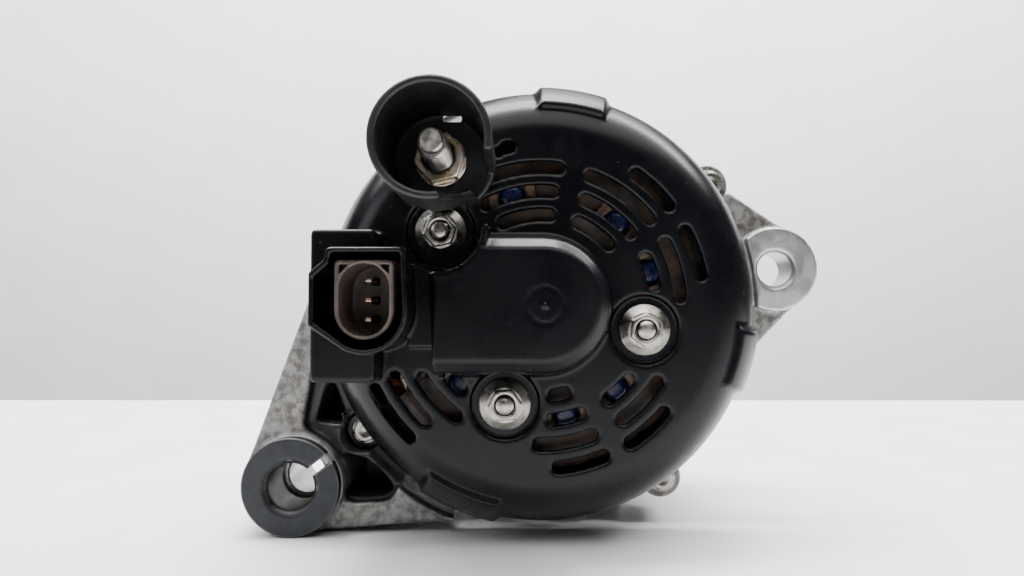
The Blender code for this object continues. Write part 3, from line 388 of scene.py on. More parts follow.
def settle(shape, points, cell, rounds=4):
    """Moves each point onto the surface, along the shape's slope."""
    for _ in range(rounds):
        value = shape(Places(*points.T))
        slope = np.empty_like(points)
        for axis in range(3):
            step = np.zeros(3)
            step[axis] = 0.02
            slope[:, axis] = (shape(Places(*(points + step).T)) - shape(Places(*(points - step).T))) / 0.04
        size = np.maximum((slope**2).sum(axis=1), 0.2)
        move = np.clip(value / size, -cell / 2, cell / 2)
        points = points - slope * move[:, None]
    return points


def to_world(points):
    """Millimetres about the axis to metres in the frame."""
    return np.asarray(points, float) / 1000 + np.array([AXIS_X, REAR_Y, AXIS_Z])


def add_piece(name, mesh, node, finish, rides=True):
    """Puts the mesh in the scene as a piece that stands for a CAD node.

    It rides on the node's body, unless rides is false; then it stays unattached.
    """
    piece = bpy.data.objects.new(name, mesh)
    bpy.context.scene.collection.objects.link(piece)
    if not mesh.materials:
        mesh.materials.append(MATERIALS[finish])
    if rides:
        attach(piece, BODIES.get(node, "housing"))
    if node:
        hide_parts(node)
        shaped.add(node)
    return piece


def around(spot, reach, span):
    """Opposite corners of the box round a spot, between two depths."""
    near, far = span
    return (spot[0] - reach, near, spot[1] - reach), (spot[0] + reach, far, spot[1] + reach)


def implicit(name, shape, low, high, cell=None):
    """A closed mesh of the shape, from a grid over the box."""
    cell = cell or CELL
    low, high = np.array(low, float) - 2 * cell, np.array(high, float) + 2 * cell
    axes = [np.arange(a, b + cell, cell) for a, b in zip(low, high)]
    points, faces = net(sign_of_cells(shape, axes), low, cell)
    points = settle(shape, points, cell)
    mesh = bpy.data.meshes.new(name)
    mesh.from_pydata(to_world(points).tolist(), [], faces.tolist())
    mesh.shade_smooth()
    return mesh


# Materials


def add_node(tree, kind, settings=None, **inputs):
    made = tree.nodes.new(kind)
    for name, value in (settings or {}).items():
        setattr(made, name, value)
    for name, value in inputs.items():
        socket = made.inputs[name.replace("_", " ")]
        if isinstance(value, bpy.types.NodeSocket):
            tree.links.new(value, socket)
        else:
            socket.default_value = value
    return made


def new_material(name):
    made = bpy.data.materials.new(name)
    made.use_nodes = True
    tree = made.node_tree
    return made, tree, tree.nodes["Principled BSDF"]


def noise(tree, where, size, detail=4.0, roughness=0.55):
    """Noise whose patches are about size metres wide."""
    values = {"Vector": where, "Scale": 1 / size, "Detail": detail, "Roughness": roughness}
    return add_node(tree, "ShaderNodeTexNoise", **values).outputs["Fac"]


def ramp(tree, value, low, high, to_low=0.0, to_high=1.0):
    settings = {"interpolation_type": "SMOOTHSTEP"}
    ends = {"From_Min": low, "From_Max": high, "To_Min": to_low, "To_Max": to_high}
    return add_node(tree, "ShaderNodeMapRange", settings, Value=value, **ends).outputs["Result"]


def mix(tree, factor, a, b, kind="MIX"):
    made = tree.nodes.new("ShaderNodeMix")
    made.data_type = "RGBA"
    made.blend_type = kind
    for socket, value in ((made.inputs[0], factor), (made.inputs[6], a), (made.inputs[7], b)):
        if isinstance(value, bpy.types.NodeSocket):
            tree.links.new(value, socket)
        elif isinstance(value, tuple):
            socket.default_value = (*value, 1)
        else:
            socket.default_value = value
    return made.outputs[2]


def arithmetic(tree, operation, a, b=0.0):
    made = tree.nodes.new("ShaderNodeMath")
    made.operation = operation
    for socket, value in ((made.inputs[0], a), (made.inputs[1], b)):
        if isinstance(value, bpy.types.NodeSocket):
            tree.links.new(value, socket)
        else:
            socket.default_value = value
    return made.outputs[0]


# Scale of a wave texture whose stripes are one unit apart
WAVE = 0.314


def surface(
    name, dark, light, patch=0.006, metal=0.0, rough=(0.35, 0.5), grain=0.0004, relief=0.00002, dust=0.0,
    wear=None, rings=None, stripes=None, coat=0.0, gloss=0.5,
):
    """A material mottled between two colours, with a grain.

    If asked, it has dust, worn edges, turned rings or stripes. Lengths are in metres.
    """
    made, tree, shader = new_material(name)
    where = add_node(tree, "ShaderNodeTexCoord").outputs["Object"]
    patches = noise(tree, where, patch, 6.0, 0.62)
    fine = noise(tree, where, grain, 3.0)
    colour = mix(tree, ramp(tree, patches, 0.35, 0.65), dark, light)
    height = fine
    if wear:
        edges = add_node(tree, "ShaderNodeNewGeometry").outputs["Pointiness"]
        uneven = arithmetic(tree, "MULTIPLY", patches, 0.02)
        worn = ramp(tree, arithmetic(tree, "ADD", edges, uneven), 0.53, 0.60)
        colour = mix(tree, worn, colour, wear)
    if rings:
        middle_x, middle_z, pitch = rings
        away = add_node(tree, "ShaderNodeVectorMath", {"operation": "SUBTRACT"}).outputs[0]
        away.node.inputs[1].default_value = (AXIS_X + middle_x / 1000, 0, AXIS_Z + middle_z / 1000)
        tree.links.new(where, away.node.inputs[0])
        flat = add_node(tree, "ShaderNodeVectorMath", {"operation": "MULTIPLY"})
        tree.links.new(away, flat.inputs[0])
        flat.inputs[1].default_value = (1, 0, 1)
        settings = {"wave_type": "RINGS", "rings_direction": "SPHERICAL"}
        wave = add_node(
            tree, "ShaderNodeTexWave", settings, Vector=flat.outputs[0], Scale=WAVE / pitch, Distortion=0.6,
            Detail=2.0,
        ).outputs["Fac"]
        colour = mix(tree, arithmetic(tree, "MULTIPLY", wave, 0.35), colour, light)
        height = arithmetic(tree, "ADD", arithmetic(tree, "MULTIPLY", fine, 0.4), wave)
    if stripes:
        settings = {"wave_type": "BANDS", "bands_direction": "Y"}
        wave = add_node(
            tree, "ShaderNodeTexWave", settings, Vector=where, Scale=WAVE / stripes, Distortion=0.4
        ).outputs["Fac"]
        colour = mix(tree, ramp(tree, wave, 0.0, 0.35), tuple(c * 0.35 for c in dark), colour)
        height = wave
    roughness = ramp(tree, patches, 0.3, 0.7, rough[0], rough[1])
    if dust:
        cells = add_node(tree, "ShaderNodeTexVoronoi", Vector=where, Scale=1 / 0.0028, Randomness=1.0)
        chosen = add_node(tree, "ShaderNodeSeparateColor", Color=cells.outputs["Color"]).outputs[0]
        size = arithmetic(tree, "MULTIPLY", arithmetic(tree, "POWER", chosen, 9.0), 0.11)
        speck = arithmetic(tree, "LESS_THAN", cells.outputs["Distance"], size)
        film = ramp(tree, noise(tree, where, 0.016, 8.0, 0.7), 0.45, 0.85, 0.0, 0.05)
        colour = mix(tree, arithmetic(tree, "MULTIPLY", film, dust), colour, (0.30, 0.29, 0.29))
        shown = arithmetic(tree, "MULTIPLY", speck, min(1.0, dust * 0.4))
        colour = mix(tree, shown, colour, (0.34, 0.33, 0.33))
        roughness = arithmetic(tree, "ADD", roughness, arithmetic(tree, "MULTIPLY", speck, 0.4))
    bump = add_node(tree, "ShaderNodeBump", Strength=1.0, Distance=relief, Height=height).outputs["Normal"]
    tree.links.new(colour, shader.inputs["Base Color"])
    tree.links.new(roughness, shader.inputs["Roughness"])
    tree.links.new(bump, shader.inputs["Normal"])
    shader.inputs["Metallic"].default_value = metal
    shader.inputs["Specular IOR Level"].default_value = gloss
    shader.inputs["Coat Weight"].default_value = coat
    shader.inputs["Coat Roughness"].default_value = 0.15
    return made


def iridescent(name):
    """Yellow passivated zinc: straw, rose and green films over bright metal."""
    made, tree, shader = new_material(name)
    where = add_node(tree, "ShaderNodeTexCoord").outputs["Object"]
    film = noise(tree, where, 0.0035, 3.0, 0.6)
    colours = add_node(tree, "ShaderNodeValToRGB", Fac=film)
    bands = colours.color_ramp
    bands.elements[0].position, bands.elements[0].color = 0.3, (0.62, 0.52, 0.30, 1)
    bands.elements[1].position, bands.elements[1].color = 0.72, (0.50, 0.56, 0.42, 1)
    films = {0.42: (0.74, 0.66, 0.42, 1), 0.52: (0.72, 0.50, 0.46, 1), 0.6: (0.70, 0.66, 0.60, 1)}
    for position, colour in films.items():
        bands.elements.new(position).color = colour
    fine = noise(tree, where, 0.0003)
    bump = add_node(tree, "ShaderNodeBump", Strength=0.6, Distance=0.00002, Height=fine)
    tree.links.new(colours.outputs["Color"], shader.inputs["Base Color"])
    tree.links.new(ramp(tree, film, 0.3, 0.7, 0.22, 0.40), shader.inputs["Roughness"])
    tree.links.new(bump.outputs["Normal"], shader.inputs["Normal"])
    shader.inputs["Metallic"].default_value = 1.0
    return made


def make_materials():
    return {
        "cover": surface(
            "cover_plastic", (0.0010, 0.0011, 0.0020), (0.0018, 0.0019, 0.0030), patch=0.02,
            rough=(0.25, 0.33), relief=0.000006, dust=0.3, gloss=0.2,
        ),
        "cup": surface(
            "shroud_plastic", (0.0020, 0.0022, 0.0030), (0.0042, 0.0044, 0.0056), rough=(0.36, 0.52),
            dust=0.2, gloss=0.4,
        ),
        "port": surface(
            "port_plastic", (0.045, 0.030, 0.024), (0.088, 0.064, 0.054), patch=0.004, rough=(0.4, 0.6),
        ),
        "inner": surface(
            "inner_plastic", (0.003, 0.0025, 0.002), (0.055, 0.024, 0.009), patch=0.005,
            rough=(0.4, 0.65), dust=0.3,
        ),
        "tan": surface(
            "lead_frame_ends", (0.05, 0.028, 0.016), (0.16, 0.10, 0.065), patch=0.002, rough=(0.4, 0.6),
        ),
        "cast": surface(
            "cast_aluminium", (0.095, 0.090, 0.084), (0.27, 0.262, 0.25), patch=0.0028, metal=0.6,
            rough=(0.40, 0.62), grain=0.0007, relief=0.00014, dust=0.2, wear=(0.42, 0.41, 0.40),
        ),
        # Near-black finish for the faces inside the left arm's recess and pockets: painted shade standing in for
        # the shadow in those hollows, not a real coating.
        "soot": surface(
            "painted_shade_casting", (0.006, 0.006, 0.007), (0.020, 0.020, 0.022), patch=0.004, metal=0.1,
            rough=(0.3, 0.5), relief=0.00004,
        ),
        "machined": surface(
            "machined_aluminium", (0.30, 0.292, 0.28), (0.48, 0.47, 0.455), patch=0.005, metal=0.85,
            rough=(0.28, 0.42), relief=0.00003, rings=(*RIGHT_LUG, 0.00055),
        ),
        "zinc": surface(
            "zinc_steel", (0.26, 0.245, 0.215), (0.44, 0.42, 0.38), patch=0.003, metal=1.0,
            rough=(0.24, 0.42), dust=0.2,
        ),
        "yellow": iridescent("yellow_zinc"),
        "steel": surface(
            "bright_steel", (0.26, 0.245, 0.225), (0.42, 0.40, 0.37), patch=0.002, metal=1.0,
            rough=(0.3, 0.48),
        ),
        "race": surface(
            "ground_steel", (0.50, 0.50, 0.50), (0.62, 0.62, 0.62), metal=1.0, rough=(0.16, 0.28),
        ),
        "pulley": surface(
            "turned_steel", (0.24, 0.235, 0.23), (0.40, 0.39, 0.38), patch=0.004, metal=1.0,
            rough=(0.28, 0.42), relief=0.00002, rings=(0, 0, 0.0006), wear=(0.62, 0.61, 0.60),
        ),
        "bush": surface(
            "bush_steel", (0.009, 0.010, 0.012), (0.019, 0.021, 0.024), patch=0.003, metal=0.4,
            rough=(0.40, 0.56), relief=0.00003, wear=(0.22, 0.22, 0.22),
        ),
        "bore": surface(
            "bore_steel", (0.022, 0.021, 0.020), (0.085, 0.082, 0.078), patch=0.003, metal=0.8,
            rough=(0.3, 0.5),
        ),
        "laminated": surface(
            "lamination", (0.16, 0.15, 0.14), (0.30, 0.28, 0.26), metal=0.9, rough=(0.4, 0.6),
            relief=0.00008, stripes=0.0011,
        ),
        "enamel": surface(
            "enamelled_copper", (0.30, 0.09, 0.03), (0.50, 0.19, 0.07), patch=0.003, metal=0.7,
            rough=(0.25, 0.4), coat=0.4,
        ),
        "copper": surface(
            "copper", (0.30, 0.17, 0.10), (0.50, 0.33, 0.22), patch=0.002, metal=1.0, rough=(0.25, 0.4),
        ),
        "carbon": surface(
            "carbon", (0.020, 0.020, 0.020), (0.045, 0.045, 0.045), patch=0.001, metal=0.1,
            rough=(0.5, 0.7),
        ),
        "resin": surface(
            "diode_resin", (0.003, 0.006, 0.038), (0.006, 0.014, 0.085), patch=0.002, rough=(0.2, 0.4),
        ),
        "iron": surface(
            "iron", (0.13, 0.12, 0.115), (0.24, 0.23, 0.22), patch=0.004, metal=0.85, rough=(0.45, 0.65),
        ),
        "sink": surface(
            "sink_aluminium", (0.07, 0.065, 0.06), (0.16, 0.15, 0.14), metal=0.8, rough=(0.4, 0.55),
            dust=0.4,
        ),
    }


MATERIALS = make_materials()


# Rear cover


def dome(p):
    """A flat face whose rim rounds into the side of the cover."""
    a, b = COVER_R - FACE_R, SIDE_D - FACE_D
    u, v = np.maximum(p.r - FACE_R, 0), np.maximum(SIDE_D - p.d, 0)
    k0 = np.hypot(u / a, v / b)
    k1 = np.maximum(np.hypot(u / a**2, v / b**2), 1e-9)
    return np.where(k0 > 0, k0 * (k0 - 1) / k1, -float(min(a, b)))


def hood(p):
    """The D-shaped plateau over the slip rings, with a broad chamfer and steep sides."""
    top_r, edge_r, base_r = HOOD_R
    edge_d = HOOD_D + edge_r - top_r
    lean = (base_r - edge_r) / (FACE_D + 1.5 - edge_d)
    to_spine = np.hypot(np.maximum(p.x, 0), p.z)
    chamfer = (to_spine - top_r - (p.d - HOOD_D)) / math.hypot(1, 1)
    steep = (to_spine - edge_r - (p.d - edge_d) * lean) / math.hypot(1, lean)
    sides = -blend_min(-chamfer, -steep, 0.8)
    flat = -blend_min(-sides, -(HOOD_D - p.d), 0.5)
    return -blend_min(-flat, -(HOOD_LEFT - p.x), 0.5)


def shroud_points(inset):
    left, right = PORT[0] - 13.4 + inset, PORT[0] + 11.4 - inset
    top = PORT[1] + 13.2 - inset
    middle = (PORT[0] + 0.4, PORT[1] - 2.9)
    points = [(right - 0.6, top), (left + 5.0, top), (left + 4.2, top - 0.5), (left + 3.6, top - 3.2)]
    points += [(left, top - 6.4), (left, PORT[1] - 6.8 + inset)]
    return points + arc(right - middle[0], -118, 0, 16, middle)


def port_flat(p, spare=0.0):
    """The plug port's outline, square at the top and half round at the bottom."""
    half, tall = PORT_SIZE[0] / 2 + spare, PORT_SIZE[1] / 2 + spare
    upper = rectangle(p, PORT[0] - half, PORT[0] + half, PORT[1] - 4, PORT[1] + tall, 1.6)
    lower = disc(p, (PORT[0], PORT[1] - tall + half), half)
    middle = rectangle(p, PORT[0] - half, PORT[0] + half, PORT[1] - tall + half, PORT[1] + 2)
    return np.minimum(np.minimum(upper, lower), middle)


def rear_cover(p):
    shape = plain = dome(p)
    for start, end in BUMPS:
        inwards = -sector(p, BUMP_INNER_R, 80, start, end)
        shape = np.minimum(shape, plain - BUMP_RISE * ease(inwards / 3.0) * ease(BUMP_END_D - p.d))
    shape = add(shape, hood(p), 0.9)
    shape = add(shape, extrude(rectangle(p, *BRIDGE), p, BRIDGE_D, 50), 1.0)
    shape = add(shape, extrude(rectangle(p, *BLOCK, 1.4), p, HOOD_D, 58, 0.8), 1.4)
    shape = np.maximum(shape, -(shape + WALL))
    shape = np.maximum(shape, p.d - COVER_END_D)
    for spot in NUTS:
        shape = add(shape, rod(p, spot, NUT_SEAT_R + 0.9, NUT_SEAT_D - 0.5, 45.5), 0.8)
    # The walls round the nut that is let into the hood's corner
    for start, end, near in ((-156, -92, BRIDGE_D), (-96, 4, HOOD_D)):
        crescent = sector(p, 11.2, 13.8, start, end, NUTS[2])
        shape = add(shape, extrude(crescent, p, near + 0.3, 42.1), 0.8)
    shape = add(shape, extrude(outline(p, shroud_points(0)), p, SHROUD_D, BED_D + 2.5, 0.25), 0.5)
    shape = carve(shape, extrude(outline(p, shroud_points(1.2)), p, SHROUD_D - 5, BED_D), 0.3)
    shape = carve(shape, extrude(port_flat(p, 0.3), p, 30, 50), 0.3)
    shape = carve(shape, rod(p, NUTS[2], 12, 20, 40.5), 0.6)
    for spot in NUTS:
        shape = carve(shape, rod(p, spot, NUT_SEAT_R, 20, NUT_SEAT_D, 0.3), 0.9)
        shape = carve(shape, rod(p, spot, STUD_HOLE_R, 30, 62), 0.3)
    shape = carve(shape, rod(p, TERMINAL, CUP_R + 0.3, 20, CUP_FLOOR_D + 2.5), 0.4)
    shape = carve(shape, rod(p, TERMINAL, 9.4, 20, 60), 0.3)
    for radius, spans in VENTS.items():
        for span in spans:
            shape = carve(shape, extrude(slot(p, radius, VENT_WIDTH / 2, *span), p, 20, 46), 0.4)
    shape = carve(shape, rod(p, DRAIN, 1.5, 20, 46), 0.5)
    ring = np.hypot(disc(p, HOOD_MARK, HOOD_MARK_R), p.d - HOOD_D) - 0.32
    dot = np.hypot(disc(p, HOOD_MARK, 0), p.d - HOOD_D) - 0.7
    return carve(add(shape, dot, 0.4), ring, 0.2)


def build_cover():
    mesh = implicit("cover_shell", within("rear_cover", rear_cover), (-67, SHROUD_D, -67), (67, 70, 67))
    add_piece("cover_shell", mesh, "rear_cover", "cover")


# Output terminal


def terminal_shroud(p):
    x, z = p.x - TERMINAL[0], p.z - TERMINAL[1]
    angle = np.degrees(np.arctan2(z, x))
    from_axis = np.hypot(x, z)
    wall = np.maximum(from_axis - CUP_R, CUP_BORE_R - from_axis)
    wall = extrude(wall, p, 0, CUP_FLOOR_D + 2.2, 0.7)
    floor = extrude(from_axis - CUP_R + 0.3, p, CUP_FLOOR_D, CUP_FLOOR_D + 2.2, 0.3)
    middle, half = -46.5, 33.5
    off = (angle - middle + 180) % 360 - 180
    turned = np.radians(np.abs(off) - half)
    edge = from_axis * np.sin(np.clip(turned, -1.5, 1.5))
    low_side = np.where(off < 0, np.clip((p.d - 3) * 0.42, 0, 9), 0)
    gap = np.maximum(edge + low_side, p.d - CUP_FLOOR_D + 0.6)
    wall = carve(wall, gap, 0.8)
    shape = add(wall, floor, 1.0)
    shape = add(shape, extrude(from_axis - 9, p, 32.5, 48.5), 0.8)
    shape = carve(shape, extrude(from_axis - 4.3, p, 20, 60), 0.4)
    window = rectangle(p, TERMINAL[0] + 0.4, TERMINAL[0] + 5.6, TERMINAL[1] + 10.8, TERMINAL[1] + 12.9, 0.3)
    shape = carve(shape, extrude(window, p, 28, 38), 0.3)
    return carve(shape, rod(p, NUTS[2], 9.2, 22.5, 40), 0.4)


def mesh_of(work, name, sharp=40):
    """The mesh of a bmesh, smooth but for the edges that turn by more than the angle."""
    mesh = bpy.data.meshes.new(name)
    work.to_mesh(mesh)
    work.free()
    mesh.shade_smooth()
    mesh.set_sharp_from_angle(angle=math.radians(sharp))
    return mesh


def closed_mesh(name, points, faces):
    """A mesh from points in millimetres, welded and facing outwards."""
    draft = bpy.data.meshes.new("draft")
    draft.from_pydata(to_world(points).tolist(), [], faces)
    work = bmesh.new()
    work.from_mesh(draft)
    bpy.data.meshes.remove(draft)
    bmesh.ops.remove_doubles(work, verts=work.verts, dist=1e-6)
    bmesh.ops.recalc_face_normals(work, faces=work.faces)
    return mesh_of(work, name)


def ring_mesh(name, profile, steps, middle=(0, 0)):
    """Turns a profile of (radius, depth) points about a shaft-wise axis."""
    points, faces = [], []
    for i in range(steps):
        for radius, depth in profile:
            x, z = on_circle(radius, 360 * i / steps, middle)
            points.append((x, depth, z))
    count = len(profile)
    for i in range(steps):
        for j in range(count):
            a, b = i * count + j, i * count + (j + 1) % count
            c, d = ((i + 1) % steps) * count + (j + 1) % count, ((i + 1) % steps) * count + j
            faces.append((a, b, c, d))
    return closed_mesh(name, points, faces)


def merge(name, meshes):
    """One mesh from several."""
    work = bmesh.new()
    for mesh in meshes:
        work.from_mesh(mesh)
    return mesh_of(work, name)


def threaded(name, radius, pitch, near, far, middle, steps=40, tip=0.6):
    """A rod with a helical thread from near to far."""
    depth = pitch * 0.55
    rows = max(2, round((far - near) / pitch * 8))
    points, faces = [], []
    for j in range(rows + 1):
        along = near + (far - near) * j / rows
        for i in range(steps):
            turn = along / pitch - i / steps
            groove = abs((turn % 1) * 2 - 1)
            fade = min(1.0, (along - near) / pitch)
            r = radius - depth * (1 - min(1.0, groove * 1.35)) * fade - tip * (1 - fade)
            x, z = on_circle(r, 360 * i / steps, middle)
            points.append((x, along, z))
    for j in range(rows):
        for i in range(steps):
            n = (i + 1) % steps
            faces.append((j * steps + i, j * steps + n, (j + 1) * steps + n, (j + 1) * steps + i))
    points += [(middle[0], near, middle[1]), (middle[0], far, middle[1])]
    last = len(points) - 1
    for i in range(steps):
        n = (i + 1) % steps
        faces.append((last - 1, n, i))
        faces.append((last, rows * steps + i, rows * steps + n))
    return closed_mesh(name, points, faces)


def hexagon(p, middle, across_flats, turn):
    shape = np.full(p.x.shape, -np.inf)
    for i in range(3):
        angle = math.radians(60 * i + turn + 30)
        along = (p.x - middle[0]) * math.cos(angle) + (p.z - middle[1]) * math.sin(angle)
        shape = np.maximum(shape, np.abs(along) - across_flats / 2)
    return shape


def chamfered_hexagon(p, middle, across_flats, turn, near, far):
    """A hexagon whose corners at the near end are turned to a cone."""
    corner = across_flats / math.sqrt(3)
    flat = hexagon(p, middle, across_flats, turn)
    cone = (disc(p, middle, corner - 0.62) - (p.d - near) * 1.75) / 2.01
    block = extrude(flat, p, near, far, 0.12)
    return -blend_min(-block, -cone, 0.12)


def terminal_nut(p):
    near, far = depths("terminal_nut")
    shape = chamfered_hexagon(p, TERMINAL, 12.2, 12, near, far - 0.9)
    shape = add(shape, rod(p, TERMINAL, 7.1, far - 1.6, far, 0.25), 0.2)
    mouth = (disc(p, TERMINAL, 4.7) + (p.d - near) * 1.0) / 1.42
    return carve(carve(shape, rod(p, TERMINAL, 4.15, 20, 35, 0.1), 0.1), mouth, 0.15)


def stud_mesh(name):
    near, far = depths("terminal_stud")
    profile = [(0, near), (2.5, near), (2.9, near + 0.35), (3.1, near + 0.8), (3.1, near + 3.3)]
    profile += [(2.9, near + 3.5), (0, near + 3.5)]
    tip = ring_mesh("tip", profile, 40, TERMINAL)
    thread = threaded("thread", 3.85, 1.25, near + 3.2, 36, TERMINAL)
    base = [(0, 35.5), (3.85, 35.5), (3.85, 50.8), (6.4, 50.8), (6.4, far), (0, far)]
    return merge(name, [tip, thread, ring_mesh("base", base, 32, TERMINAL)])


def flange_nut(spot, turn, node):
    near, far = depths(node)

    def shape(p):
        from_axis = disc(p, spot, 0)
        hex_part = chamfered_hexagon(p, spot, 8.0, turn, near, far - 1.2)
        skirt = extrude(from_axis - 7.3, p, far - 1.0, far, 0.25)
        slope = (from_axis - 4.9 - (p.d - (far - 3.6)) * 1.05) / 1.45
        cone = np.maximum(np.maximum(slope, p.d - far + 0.4), far - 3.6 - p.d)
        cone = np.maximum(cone, from_axis - 7.25)
        body = add(add(hex_part, cone, 0.5), skirt, 0.3)
        mouth = (from_axis - 3.3 + (p.d - near) * 1.2) / 1.56
        return carve(carve(body, extrude(from_axis - 2.8, p, 30, 50, 0.1), 0.1), mouth, 0.12)

    return shape


def build_fasteners():
    for i, (spot, turn) in enumerate(zip(NUTS, (25, 5, 12)), 1):
        node = f"cover_nut_{i}"
        box = around(spot, 7.4, depths(node))
        mesh = implicit(f"flange_nut_{i}", flange_nut(spot, turn, node), *box, SMALL_CELL)
        add_piece(f"flange_nut_{i}", mesh, node, "zinc")
        near, far = depths(f"cover_stud_{i}")
        end = [(0, near), (1.5, near), (2.05, near + 0.25), (2.5, near + 0.7), (2.5, far), (0, far)]
        mesh = ring_mesh(f"stud_{i}", end, 32, spot)
        add_piece(f"stud_{i}", mesh, f"cover_stud_{i}", "zinc")


def build_terminal():
    mesh = implicit("shroud_cup", terminal_shroud, (-43, 0, 24), (-12, 49, 54.5), CELL * 0.7)
    add_piece("shroud_cup", mesh, "terminal_insulator", "cup")
    box = around(TERMINAL, 7.3, depths("terminal_nut"))
    mesh = implicit("output_nut", terminal_nut, *box, SMALL_CELL)
    add_piece("output_nut", mesh, "terminal_nut", "yellow")
    add_piece("output_stud", stud_mesh("output_stud"), "terminal_stud", "steel")


# Plug port


def port(p):
    near, far = depths("regulator_connector")
    shape = extrude(port_flat(p), p, near, 45, 0.45)
    half, tall = PORT_OPENING[0] / 2, PORT_OPENING[1] / 2
    hollow = rectangle(p, PORT[0] - half, PORT[0] + half, PORT[1] - tall, PORT[1] + tall, half - 0.01)
    shape = carve(shape, extrude(hollow, p, near - 4, 36, 0.3), 0.5)
    for side in (-1, 1):
        outer, top = PORT[0] + side * 6.3, PORT[1] + 8.9
        hole = [(outer, top), (outer - side * 2.0, top), (outer, top - 2.0)]
        shape = carve(shape, extrude(outline(p, hole, 0.1), p, near - 3, near + 4, 0.1), 0.15)
    flange = rectangle(p, PORT[0] - 10.5, PORT[0] + 11.8, PORT[1] - 14.5, PORT[1] + 13.5, 1.0)
    shape = add(shape, extrude(flange, p, 44.5, far, 0.3), 0.5)
    for step in (-5.2, 0, 5.2):
        hole = rectangle(p, PORT[0] - 1.1, PORT[0] + 1.1, PORT[1] + step - 0.9, PORT[1] + step + 0.9)
        shape = carve(shape, extrude(hole, p, 33, 50, 0.1), 0.1)
    return shape


def build_port():
    near, far = depths("regulator_connector")
    low = (PORT[0] - 10.5, near, PORT[1] - 14.5)
    high = (PORT[0] + 11.8, far, PORT[1] + 13.5)
    mesh = implicit("plug_port", port, low, high, CELL * 0.5)
    add_piece("plug_port", mesh, "regulator_connector", "port")


# Lug bush


def lug_bush(p):
    near, far = depths("lug_bush")
    from_axis = disc(p, LEFT_LUG, 0)
    shape = extrude(from_axis - BUSH_FLANGE_R, p, near, LEFT_BOSS_D[0] - 0.3, 0.45)
    shape = add(shape, extrude(from_axis - BUSH_SLEEVE_R, p, 60, far, 0.3), 0.3)
    shape = carve(shape, extrude(from_axis - BUSH_BORE_R, p, near - 3, far + 3, 0.1), 0.2)
    mouth = (from_axis - BUSH_BORE_R - 1.6 + p.d - near) / math.sqrt(2)
    shape = carve(shape, mouth, 0.5)
    turn = math.radians(SLIT_ANGLE)
    along = (p.x - LEFT_LUG[0]) * math.cos(turn) + (p.z - LEFT_LUG[1]) * math.sin(turn)
    across = np.abs((p.z - LEFT_LUG[1]) * math.cos(turn) - (p.x - LEFT_LUG[0]) * math.sin(turn))
    return carve(shape, np.maximum(across - SLIT_WIDTH / 2, 3 - along), 0.3)


def build_bush():
    mesh = implicit("bush", lug_bush, *around(LEFT_LUG, 15, depths("lug_bush")), CELL * 0.5)
    paint_faces(mesh, "bush", bore=lambda p: disc(p, LEFT_LUG, 0) < BUSH_BORE_R + 1)
    add_piece("bush", mesh, "lug_bush", "bush")


# Brackets


def arm_points(hub, hub_r, boss, boss_r):
    """Outline of an arm whose straight sides touch a hub and a boss."""
    along = (boss[0] - hub[0], boss[1] - hub[1])
    heading = math.degrees(math.atan2(along[1], along[0]))
    spread = math.degrees(math.acos((hub_r - boss_r) / math.hypot(*along)))
    points = [hub, on_circle(hub_r, heading - spread, hub)]
    points += arc(boss_r, heading - spread, heading + spread, 20, boss)
    return points + [on_circle(hub_r, heading + spread, hub)]


# Outlines in the left arm: the shallow recess, and the deep pockets in it
RECESS = [
    (-70.0, -19.0), (-73.3, -38.0), (-68.5, -41.2), (-63.5, -45.2), (-60.3, -52.0), (-60.0, -59.0),
    (-58.0, -61.0), (-47.0, -60.5), (-44.0, -57.0), (-40.0, -40.0), (-56.0, -19.0),
]
UPPER_POCKET = [(-67.2, -25.0), (-70.5, -36.6), (-62.0, -37.6), (-64.0, -31.8), (-66.3, -26.2)]
LOWER_POCKET = [
    (-63.7, -46.7), (-61.2, -52.5), (-61.2, -58.5), (-59.0, -60.3), (-48.0, -59.8), (-46.0, -57.5),
    (-49.7, -52.3), (-56.0, -48.2),
]
# Angles of the rear wall's spokes, and of the windows in its side
SPOKES = (-13.3, 25, 62, 100, 143.7, 180, -145, -110.2, -62)
SIDE_WINDOWS = (55, 72, 89, 106, 160, 178, -72, -90, -108, -34)


def window_points(spokes, inner, outer, half_width):
    """Openings between the spokes of a bracket's end wall."""
    angles = sorted(angle % 360 for angle in spokes)
    found = []
    for first, last in zip(angles, angles[1:] + [angles[0] + 360]):
        inner_turn, outer_turn = math.degrees(half_width / inner), math.degrees(half_width / outer)
        points = arc(inner, first + inner_turn, last - inner_turn, 4)
        found.append(points + arc(outer, last - outer_turn, first + outer_turn, 6))
    return found


def side_window(p, angle, half_width, near, far):
    """A window through the side wall of a bracket."""
    turn = math.radians(angle)
    along = p.x * math.cos(turn) + p.z * math.sin(turn)
    across = np.abs(p.z * math.cos(turn) - p.x * math.sin(turn)) - half_width
    ends = np.maximum(near - p.d, p.d - far)
    return np.maximum(np.maximum(across, ends), np.maximum(55 - along, along - 75))


def ring_solid(p, radius, near, far):
    return np.maximum(p.r - radius, np.maximum(near - p.d, p.d - far))


